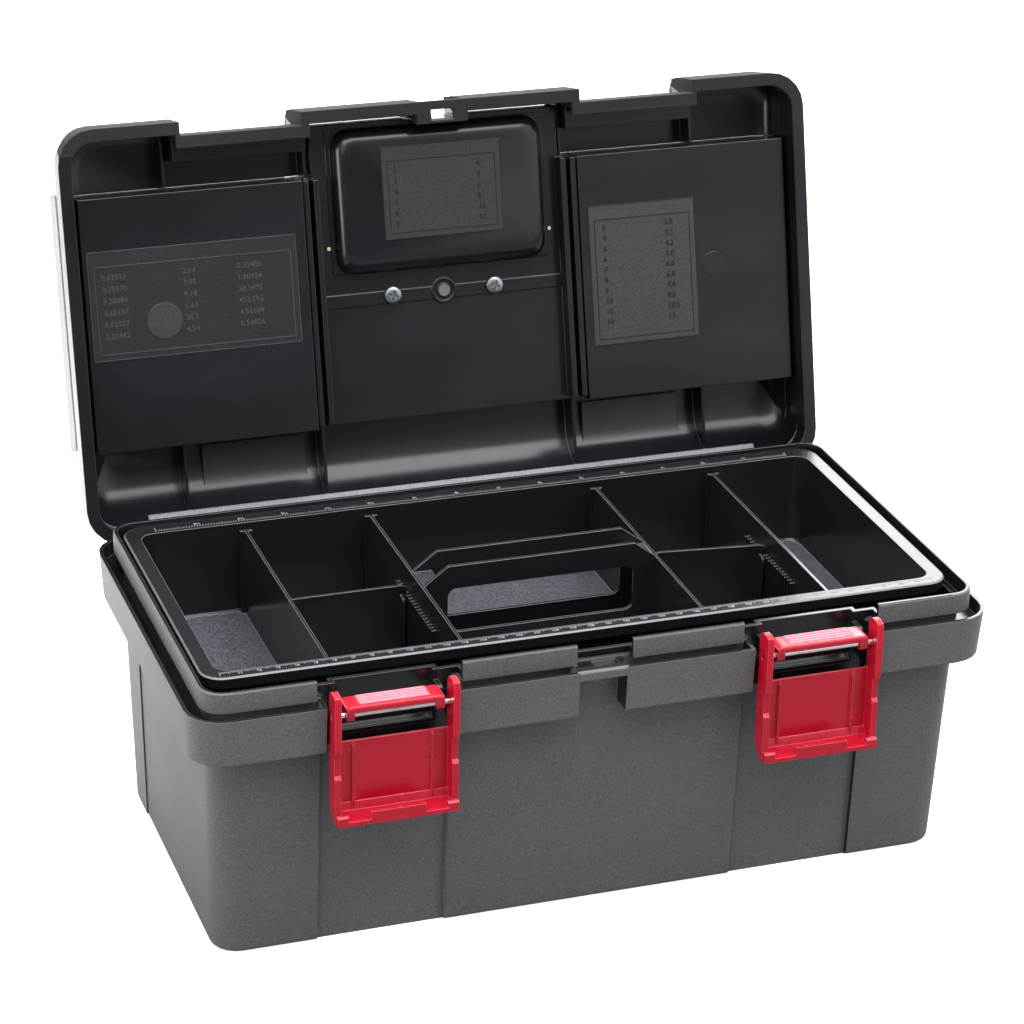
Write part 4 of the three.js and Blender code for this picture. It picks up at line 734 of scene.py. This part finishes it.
def rounded_outline(u0, v0, u1, v1, radius, w, steps=4):
    """A rectangle with round corners, at height w."""
    corners = ((u1, v1, 0), (u0, v1, 90), (u0, v0, 180), (u1, v0, 270))
    inward = ((-1, -1), (1, -1), (1, 1), (-1, 1))
    outline = []
    for (u, v, start), (su, sv) in zip(corners, inward):
        for step in range(steps + 1):
            angle = math.radians(start + 90 * step / steps)
            outline.append(
                (u + su * radius + radius * math.cos(angle), v + sv * radius + radius * math.sin(angle), w)
            )
    return outline


def raised_panel(u0, v0, u1, v1, rise, radius=0.001, foot=0.0003):
    """A flat panel with a sloping edge and rounded corners."""
    slope = rise * 0.8
    levels = ((-foot, 0.0), (0.0, 0.0), (rise, slope))
    rings = [
        rounded_outline(u0 + inset, v0 + inset, u1 - inset, v1 - inset, max(radius - inset, 0.0001), w)
        for w, inset in levels
    ]
    return lofted(rings)


def raised_frame(u0, v0, u1, v1, width, low, high):
    """A closed raised line round a rectangle, with sloping sides."""
    slope = width * 0.25
    levels = ((low, 0.0), (high, slope), (high, width - slope), (low, width))
    rings = [
        rounded_outline(u0 + inset, v0 + inset, u1 - inset, v1 - inset, 0.0001, w, 1)
        for w, inset in levels
    ]
    points, faces = lofted(rings, closed_ends=False)
    count, last = len(rings[0]), 3 * len(rings[0])
    faces += [(last + i, last + (i + 1) % count, (i + 1) % count, i) for i in range(count)]
    return points, faces


def raised_bar(u0, v0, u1, v1, low, high):
    """A straight raised line with sloping sides."""
    slope = min(u1 - u0, v1 - v0) * 0.22
    rings = [
        [(u0 + i, v0 + i, w), (u1 - i, v0 + i, w), (u1 - i, v1 - i, w), (u0 + i, v1 - i, w)]
        for w, i in ((low, 0.0), (high, slope))
    ]
    return lofted(rings)


def raised_disc(radius, low, high, steps=40):
    """A round pad with a sloping edge."""
    rings = []
    for w, r in ((low, radius), (high - 0.0001, radius), (high, radius - 0.0002)):
        around = [math.tau * i / steps for i in range(steps)]
        rings.append([(r * math.cos(a), r * math.sin(a), w) for a in around])
    return lofted(rings)


def raised_text(words, u, v, tall, low, high):
    """A line of raised figures that starts at u, v."""
    curve = bpy.data.curves.new("figures", "FONT")
    curve.body = words
    curve.size = tall / 0.72
    curve.resolution_u = 2
    curve.offset = tall * 0.03
    curve.extrude = (high - low) / 2
    drawn = bpy.data.objects.new("figures", curve)
    bpy.context.scene.collection.objects.link(drawn)
    mesh = bpy.data.meshes.new_from_object(drawn.evaluated_get(bpy.context.evaluated_depsgraph_get()))
    points = [(p.co.x + u, p.co.y + v, p.co.z + (low + high) / 2) for p in mesh.vertices]
    faces = [tuple(face.vertices) for face in mesh.polygons]
    bpy.data.objects.remove(drawn)
    bpy.data.curves.remove(curve)
    bpy.data.meshes.remove(mesh)
    return points, faces


def piece(name, solids, place, material, body):
    """One object made of several closed solids, set on a face and riding on a body."""
    points, faces = [], []
    for some_points, some_faces in solids:
        start = len(points)
        points += [tuple(place @ Vector(point)) for point in some_points]
        faces += [tuple(start + i for i in face) for face in some_faces]
    mesh = bpy.data.meshes.new(name)
    mesh.from_pydata(points, [], faces)
    work = bmesh.new()
    work.from_mesh(mesh)
    bmesh.ops.remove_doubles(work, verts=work.verts, dist=0.000002)
    bmesh.ops.recalc_face_normals(work, faces=work.faces)
    work.to_mesh(mesh)
    work.free()
    made = bpy.data.objects.new(name, mesh)
    bpy.context.scene.collection.objects.link(made)
    made.data.materials.append(material)
    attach(made, body)
    return made


def mark_material(name, tone, rough, grain_depth=FINE_GRAIN):
    """Rough moulded plastic of the panels and marks."""
    material, tree, shader = start_material(name)
    grain = use_group(tree, "moulded grain", Pit_Width=0.0008, Flow_Size=0.05)
    worn = use_group(tree, "handling", Spread=0.03, Amount=0.6)
    base = mix_colour(tree, grain["Tone"], times(tone, 0.5), times(tone, 1.5))
    base = mix_colour(tree, worn["Scuff"], base, times(tone, 2.0))
    rough = mix_value(tree, worn["Dull"], rough, rough + 0.1)
    plain = new_node(tree, "ShaderNodeNewGeometry").outputs["Normal"]
    normal = bump(tree, grain["Height"], plain, grain_depth, 0.8)
    feed_all(tree, shader, Base_Color=base, Roughness=rough, Normal=normal)
    return material


def columns(lists, starts, top, step, tall, low, high):
    """Columns of raised numbers, one under another."""
    return [
        raised_text(word, u, top - row * step, tall, low, high)
        for words, u in zip(lists, starts)
        for row, word in enumerate(words)
    ]


PANEL_HEADING = 0.0085  # depth of the strip above a panel's inner line
PANEL_INSET = 0.0034  # from a panel's outer line to its inner one


def panel_lines(half_u, half_v, values):
    """A panel's raised border, drawn as two lines that part under its heading."""
    outer = raised_frame(-half_u, -half_v, half_u, half_v, values.frame, 0.0, values.rise * 2.0)
    u, bottom, top = half_u - PANEL_INSET, PANEL_INSET - half_v, half_v - PANEL_HEADING
    inner = raised_frame(-u, bottom, u, top, values.frame, values.rise * 0.5, values.rise * 2.0)
    return [outer, inner]


def drilled_plate(outline, holes, x0, x1):
    """A plate with this outline in the YZ plane and with holes through it, from x0 to x1."""
    loops = [outline, *holes]
    triangles = geometry.tessellate_polygon([[Vector((y, z, 0)) for y, z in loop] for loop in loops])
    flat = [point for loop in loops for point in loop]
    count = len(flat)
    points = [(x, y, z) for x in (x0, x1) for y, z in flat]
    faces = [tuple(t) for t in triangles] + [tuple(count + i for i in t) for t in triangles]
    start = 0
    for loop in loops:
        around = [start + i for i in range(len(loop))]
        following = around[1:] + around[:1]
        faces += [(a, b, count + b, count + a) for a, b in zip(around, following)]
        start += len(loop)
    return points, faces


def round_outline(y, z, radius, steps=20):
    """A circle in the YZ plane."""
    around = [math.tau * i / steps for i in range(steps)]
    return [(y + radius * math.cos(a), z + radius * math.sin(a)) for a in around]


def bar_along(sections):
    """A bar through sections along X: (x, points in the YZ plane)."""
    return lofted([[(x, y, z) for y, z in section] for x, section in sections])


# ---------- latch links, in millimetres at rest ----------
LATCH_X = 118.2  # middle of each latch
ROD = (-119.5, 145.5)  # y and z of the latch rod
PIVOT = (-106.8, 146.0)  # y and z of the link's pivot on the body
LINK_HALF = 26.1  # half length of a link
LEG = 4.2  # thickness of its legs
STUB_END = 28.9  # its pivot stubs reach this far from its middle
PLATE_TOP = 151.0
RIB_TOP = 151.7
RIBS = (-111.4, -114.0, -116.6, -119.2)


def scaled(points):
    """Points in metres from points in millimetres."""
    return [(y * MM, z * MM) for y, z in points]


def mirrored(ends):
    """Stations of one half along a link, outermost first, and then their mirror images."""
    return [(-across, size) for across, size in ends] + list(reversed(ends))


def link_leg(x0, x1):
    """One leg of a link, from the pivot forward to the rod."""
    outline = [(-103.9, 146.0), (-104.8, 148.0), (-106.8, 148.9), (-110.2, 149.9), (-121.4, 149.9),
               (-122.7, 148.4), (-123.0, 146.0), (-122.6, 143.6), (-121.0, 142.3), (-118.4, 142.2),
               (-116.6, 143.2), (-110.0, 143.4), (-106.8, 143.1), (-104.8, 144.0)]
    hole = round_outline(ROD[0] * MM, ROD[1] * MM, 1.7 * MM)
    return drilled_plate(scaled(outline), [hole], x0 * MM, x1 * MM)


def link_plate(centre):
    """The thumb plate between the legs, with rounded ends, which leaves the rod open below it."""
    ends = [(LINK_HALF, 1.7), (LINK_HALF - 0.5, 0.9), (LINK_HALF - 1.5, 0.3), (LINK_HALF - 3.1, 0.0)]
    sections = []
    for across, drop in mirrored(ends):
        top = PLATE_TOP - drop
        outline = [(-109.8, 148.5), (-119.6, 148.5), (-120.6, 147.5), (-122.4, 147.5), (-123.0, 148.0),
                   (-123.0, top - 1.2), (-122.5, top - 0.3), (-121.7, top), (-110.4, top),
                   (-109.8, top - 0.5)]
        sections.append(((centre + across) * MM, scaled(outline)))
    return bar_along(sections)


def link_rib(centre, y):
    """A half round rib along the thumb plate."""
    sections = []
    for across, size in mirrored([(19.0, 0.3), (18.4, 0.8), (17.6, 1.0)]):
        angles = [math.radians(degrees) for degrees in range(0, 181, 30)]
        middle = PLATE_TOP - 0.1
        outline = [(y + 0.95 * size * math.cos(a), middle + 0.8 * size * math.sin(a)) for a in angles]
        outline += [(y - 0.6 * size, PLATE_TOP - 0.5), (y + 0.6 * size, PLATE_TOP - 0.5)]
        sections.append(((centre + across) * MM, scaled(outline)))
    return bar_along(sections)


def pivot_stub(centre, end):
    """The short pin at one end of a link, on which it turns."""
    x0, x1 = sorted((centre + end * (LINK_HALF - 0.5), centre + end * STUB_END))
    outline = round_outline(PIVOT[0] * MM, PIVOT[1] * MM, 1.4 * MM)
    return drilled_plate(outline, [], x0 * MM, x1 * MM)


class TOOLBOX_OT_add_links(bpy.types.Operator):
    """Red latch links with ribbed thumb plates, open below so that the rods show"""

    bl_idname = "toolbox.add_links"
    bl_label = "Add latch links"

    def execute(self, context):
        red = bpy.data.materials["latch plastic"]
        for side, name in ((-1, "left"), (1, "right")):
            centre = side * LATCH_X
            solids = [link_leg(centre - LINK_HALF, centre - LINK_HALF + LEG),
                      link_leg(centre + LINK_HALF - LEG, centre + LINK_HALF), link_plate(centre)]
            solids += [link_rib(centre, y) for y in RIBS]
            solids += [pivot_stub(centre, end) for end in (-1, 1)]
            made = piece(f"thumb_link_{name}", solids, Matrix(), red, f"latch_{name}_link")
            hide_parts(f"latch_{name}_link")
        return {"FINISHED"}


class TOOLBOX_OT_add_rear_lip(bpy.types.Operator):
    """A sloping lip along the inside of the lid's rear wall, above the flange"""

    bl_idname = "toolbox.add_rear_lip"
    bl_label = "Add rear lip"

    def execute(self, context):
        outline = [(110.6, 162.2), (109.6, 162.2), (105.4, 166.4),
                   (105.3, 167.0), (105.9, 167.6), (110.6, 167.6)]
        solid = bar_along([(x * MM, scaled(outline)) for x in (-185.0, -184.0, 187.0, 188.0)])
        # Painted sheen: the lip's pale grey stands in for the light strip that it reflects.
        lip = mark_material("lip plastic", settings().mark.lip, 0.22)
        piece("lid_rear_lip", [solid], lid_place(), lip, "lid")
        return {"FINISHED"}


class TOOLBOX_OT_add_panels(bpy.types.Operator):
    """Three rough panels with columns of sizes, inside the lid"""

    bl_idname = "toolbox.add_panels"
    bl_label = "Add panels"

    def execute(self, context):
        values = settings().mark
        pale = mark_material("pale figures", values.figure, 0.4)
        dark = mark_material("dark figures", values.dark, 0.6)
        low, high = values.rise * 0.6, values.rise * 2.0
        tall = values.digit
        # name, middle on the shut lid in millimetres, half sizes, columns, their starts, top and step
        panels = (
            ("left", (-149.5, -17.0), (0.0605, 0.031),
             (("0.03937", "0.39370", "3.28084", "0.62137", "0.03527", "2.20462"),
              ("2.54", "3.05", "9.14", "1.61", "28.3", "4.54"),
              ("0.30480", "1.60934", "28.3495", "453.592", "4.54609", "0.56826")),
             (-0.053, -0.0065, 0.025), 0.0145, 0.0066),
            ("centre", (0.0, -66.0), (0.036, 0.027),
             (("2", "3", "4", "5", "6", "8"), ("4", "5", "6", "8", "10", "12")),
             (-0.029, 0.021), 0.0115, 0.0062),
            ("right", (121.0, -6.5), (0.0335, 0.0415),
             (("3", "4", "5", "6", "7", "8", "9", "10", "12", "14"),
              ("2.5", "3.3", "4.2", "5.0", "6.0", "6.8", "7.8", "8.5", "10.2", "12")),
             (-0.025, 0.014), 0.0265, 0.0062),
        )
        for side, middle, (half_u, half_v), lists, starts, top, step in panels:
            place = inside_of_lid(*middle)
            tone = getattr(values, f"panel_{side}")
            rough = mark_material(f"panel plastic {side}", tone, values.panel_gloss, 0.16 * MM)
            flat = [raised_panel(-half_u, -half_v, half_u, half_v, values.rise)]
            piece(f"lid_panel_{side}", flat, place, rough, "lid")
            solids = panel_lines(half_u, half_v, values)
            solids += columns(lists, starts, top, step, tall, low, high)
            shade = pale if side == "left" else dark
            piece(f"lid_figures_{side}", solids, place, shade, "lid")
        return {"FINISHED"}


class TOOLBOX_OT_add_moulding_marks(bpy.types.Operator):
    """Gate discs and rivet ends on the inside of the lid"""

    bl_idname = "toolbox.add_moulding_marks"
    bl_label = "Add moulding marks"

    def execute(self, context):
        values = settings().mark
        rough = mark_material("gate plastic", times(values.panel_left, 2.2), 0.5, 0.12 * MM)
        fine = mark_material("ring plastic", values.panel_left, 0.3)
        pin = mark_material("boss end", (0.15, 0.14, 0.135), 0.35)
        brass = mark_material("brass", (0.75, 0.62, 0.36), 0.3, 0.02 * MM)
        # name, place on the shut lid in millimetres, radius, foot, top, steps round, material, slot
        marks = (
            ("gate_disc_left", (-168, -6), 0.0103, 0.0001, 0.0006, 40, rough, "textured_black"),
            ("gate_disc_right", (165, -7), 0.0072, FOOT, 0.0002, 40, fine, "gloss_black"),
            ("boss_end", (0, -6, 168.4), 0.0034, FOOT, 0.0008, 40, pin, "gloss_black"),
            ("rivet_end_left", (-67, -36, 170), 0.0011, FOOT, 0.0005, 16, brass, "zinc"),
            ("rivet_end_right", (67, -36, 170), 0.0011, FOOT, 0.0005, 16, brass, "zinc"),
        )
        for name, at, radius, foot, top, steps, material, slot in marks:
            disc = raised_disc(radius, foot, top, steps)
            piece(name, [disc], inside_of_lid(*at), material, "lid")
        return {"FINISHED"}


def ruler_solids(long_way, pitch, count, divisions, values):
    """Ruler marks along u from nought, which point along v, with a figure after each long one."""
    solids = []
    half, rise = values.tick / 2, values.tick_rise
    for index in range(count * divisions + 1):
        u = index * pitch / divisions
        if index % divisions == 0:
            reach = long_way
        elif index % (divisions // 2) == 0:
            reach = long_way * 0.62
        else:
            reach = long_way * 0.4
        solids.append(raised_bar(u - half, -reach, u + half, 0.0, FOOT, rise))
    for index in range(1, count):
        solids.append(raised_text(str(index), index * pitch + 0.0006, -long_way, 0.0019, FOOT, rise))
    return solids


class TOOLBOX_OT_add_rulers(bpy.types.Operator):
    """Centimetres along the front of the tray's flange and inches along its back"""

    bl_idname = "toolbox.add_rulers"
    bl_label = "Add rulers"

    def execute(self, context):
        values = settings().mark
        material = mark_material("ruler plastic", values.tone, 0.6)
        # name, start on the flange, way along it, way across it, long mark, pitch, count, divisions
        rulers = (
            ("ruler_front", (-0.2, -0.0802), (1, 0, 0), (0, 1, 0), 0.0038, 0.01, 40, 10),
            ("ruler_back", (0.1905, 0.0972), (-1, 0, 0), (0, -1, 0), 0.0046, 0.0254, 15, 16),
        )
        for name, start, along, across, *spacing in rulers:
            place = facing((*start, TRAY_FLANGE * MM), along, across)
            piece(name, ruler_solids(*spacing, values), place, material, "tray")
        return {"FINISHED"}


# ---------- stage ----------
def stage_material(name, tone, near, glow):
    """A plain matt floor, lifted to white where it is seen, and darker in front where gloss mirrors it."""
    material, tree, shader = start_material(name)
    path = new_node(tree, "ShaderNodeLightPath").outputs
    seen = either(tree, path["Is Camera Ray"], path["Is Transmission Ray"])
    where = position(tree)
    behind = ramp(tree, split(tree, where)[1], -0.15, 0.35)
    shade = mix_colour(tree, noise(tree, where, 3.0), tone, times(tone, 0.985))
    mirrored = mix_colour(tree, behind, near, shade)
    base = mix_colour(tree, seen, mirrored, shade)
    lifted = either(tree, seen, both(tree, path["Is Glossy Ray"], behind))
    feed_all(tree, shader, Base_Color=base, Roughness=0.9, Emission_Strength=both(tree, lifted, glow))
    feed_all(tree, shader, Specular_IOR_Level=0.0, Emission_Color=(1.0, 1.0, 1.0, 1.0))
    return material


def area_lamp(name, at, towards, size, power):
    """A soft rectangular lamp that looks at a point."""
    data = bpy.data.lights.new(name, "AREA")
    data.shape = "RECTANGLE"
    data.size, data.size_y = size
    data.energy = power
    lamp = bpy.data.objects.new(name, data)
    bpy.context.scene.collection.objects.link(lamp)
    lamp.location = at
    lamp.rotation_euler = (Vector(towards) - Vector(at)).to_track_quat("-Z", "Y").to_euler()


def camera():
    """The camera of the main view, from its bearing, height, roll and distance."""
    azimuth, elevation, roll = (math.radians(a) for a in (-19.422, 24.292, 1.246))
    outwards = Vector((math.sin(azimuth), -math.cos(azimuth), 0)) * math.cos(elevation)
    back = outwards + Vector((0, 0, math.sin(elevation)))
    level = Vector((math.cos(azimuth), math.sin(azimuth), 0))
    upright = back.cross(level)
    right = math.cos(roll) * level + math.sin(roll) * upright
    up = -math.sin(roll) * level + math.cos(roll) * upright
    data = bpy.data.cameras.new("main camera")
    data.sensor_width = 36.0
    data.lens = 116.46
    data.clip_start, data.clip_end = 0.05, 50.0
    made = bpy.data.objects.new("main camera", data)
    bpy.context.scene.collection.objects.link(made)
    turn = Matrix((right, up, back)).transposed().to_4x4()
    made.matrix_world = Matrix.Translation((-0.5611, -1.5489, 0.9315)) @ turn
    bpy.context.scene.camera = made


def floor_and_backdrop(tone, near, glow):
    """One sheet: a floor that curves up behind into a backdrop."""
    start, bend = 2.6, 1.4
    profile = [(-6.0, 0.0), (start, 0.0)]
    for degrees in range(10, 91, 10):
        angle = math.radians(degrees)
        profile.append((start + bend * math.sin(angle), bend - bend * math.cos(angle)))
    profile.append((start + bend, 6.0))
    points = [(x, y, z) for y, z in profile for x in (-7.0, 7.0)]
    faces = [(2 * i, 2 * i + 1, 2 * i + 3, 2 * i + 2) for i in range(len(profile) - 1)]
    mesh = bpy.data.meshes.new("floor")
    mesh.from_pydata(points, [], faces)
    for face in mesh.polygons:
        face.use_smooth = True
    made = bpy.data.objects.new("floor", mesh)
    bpy.context.scene.collection.objects.link(made)
    made.data.materials.append(stage_material("pale floor", tone, near, glow))


def light_all_round(power, front):
    """A room that is bright behind and above and darker at the front, and white to the camera."""
    world = bpy.data.worlds.new("studio")
    world.use_nodes = True
    tree = world.node_tree
    tree.nodes.clear()
    way = split(tree, new_node(tree, "ShaderNodeTexCoord").outputs["Generated"])
    behind = ramp(tree, way[1], -0.75, 0.35)
    above = ramp(tree, way[2], 0.1, 0.8)
    right = ramp(tree, way[0], 0.24, 0.46)
    open_side = either(tree, behind, above)
    bright = maths(tree, "ADD", mix_value(tree, open_side, front, power), right)
    soft = new_node(tree, "ShaderNodeBackground")
    feed_all(tree, soft, Color=(0.93, 0.96, 1.0, 1.0), Strength=bright)
    white = new_node(tree, "ShaderNodeBackground")
    feed_all(tree, white, Color=(1.0, 1.0, 1.0, 1.0), Strength=1.0)
    choose = new_node(tree, "ShaderNodeMixShader")
    feed(tree, choose.inputs[0], new_node(tree, "ShaderNodeLightPath").outputs["Is Camera Ray"])
    tree.links.new(soft.outputs[0], choose.inputs[1])
    tree.links.new(white.outputs[0], choose.inputs[2])
    output = new_node(tree, "ShaderNodeOutputWorld")
    tree.links.new(choose.outputs[0], output.inputs["Surface"])
    bpy.context.scene.world = world


class TOOLBOX_OT_add_stage(bpy.types.Operator):
    """Pale floor, soft lamps and the main camera"""

    bl_idname = "toolbox.add_stage"
    bl_label = "Add stage"

    def execute(self, context):
        values = settings().stage
        floor_and_backdrop(values.floor, values.near, values.glow)
        light_all_round(values.world, values.front)
        middle = (0.0, 0.0, 0.18)
        area_lamp("back lamp", (0.95, 2.1, 1.25), middle, (1.8, 1.1), values.back)
        area_lamp("top lamp", (0.0, -0.45, 1.85), (0.0, -0.45, 0.0), (2.2, 1.9), values.top)
        area_lamp("key lamp", (-1.3, -1.8, 1.5), middle, (1.2, 1.2), values.key)
        area_lamp("side lamp", (-2.3, -0.5, 0.6), middle, (0.8, 1.5), values.side)
        camera()
        context.scene.view_settings.view_transform = "Standard"
        return {"FINISHED"}


# ---------- panel and start ----------
STEPS = (
    TOOLBOX_OT_finish_body,
    TOOLBOX_OT_finish_lid,
    TOOLBOX_OT_finish_tray,
    TOOLBOX_OT_finish_latches,
    TOOLBOX_OT_finish_covers,
    TOOLBOX_OT_add_links,
    TOOLBOX_OT_add_rear_lip,
    TOOLBOX_OT_add_panels,
    TOOLBOX_OT_add_moulding_marks,
    TOOLBOX_OT_add_rulers,
    TOOLBOX_OT_add_stage,
)


class TOOLBOX_PT_panel(bpy.types.Panel):
    """The toolbox's steps, sizes and colours"""

    bl_idname = "TOOLBOX_PT_panel"
    bl_label = "Toolbox with tray"
    bl_space_type = "VIEW_3D"
    bl_region_type = "UI"
    bl_category = "Toolbox"

    def draw(self, context):
        for step in STEPS:
            self.layout.operator(step.bl_idname)
        for part in ("shell", "tray", "latch", "cover", "mark", "stage"):
            group = getattr(context.scene.toolbox, part)
            box = self.layout.box()
            for key in group.__annotations__:
                box.prop(group, key)


GROUPS = (
    TOOLBOX_PG_shell,
    TOOLBOX_PG_tray,
    TOOLBOX_PG_latch,
    TOOLBOX_PG_cover,
    TOOLBOX_PG_mark,
    TOOLBOX_PG_stage,
    TOOLBOX_PG_all,
)


def register():
    for kind in (*GROUPS, *STEPS, TOOLBOX_PT_panel):
        bpy.utils.register_class(kind)
    bpy.types.Scene.toolbox = bpy.props.PointerProperty(type=TOOLBOX_PG_all)


def unregister():
    del bpy.types.Scene.toolbox
    for kind in reversed((*GROUPS, *STEPS, TOOLBOX_PT_panel)):
        bpy.utils.unregister_class(kind)


def main():
    register()
    for step in STEPS:
        family, name = step.bl_idname.split(".")
        getattr(getattr(bpy.ops, family), name)()


if __name__ == "__main__":
    main()
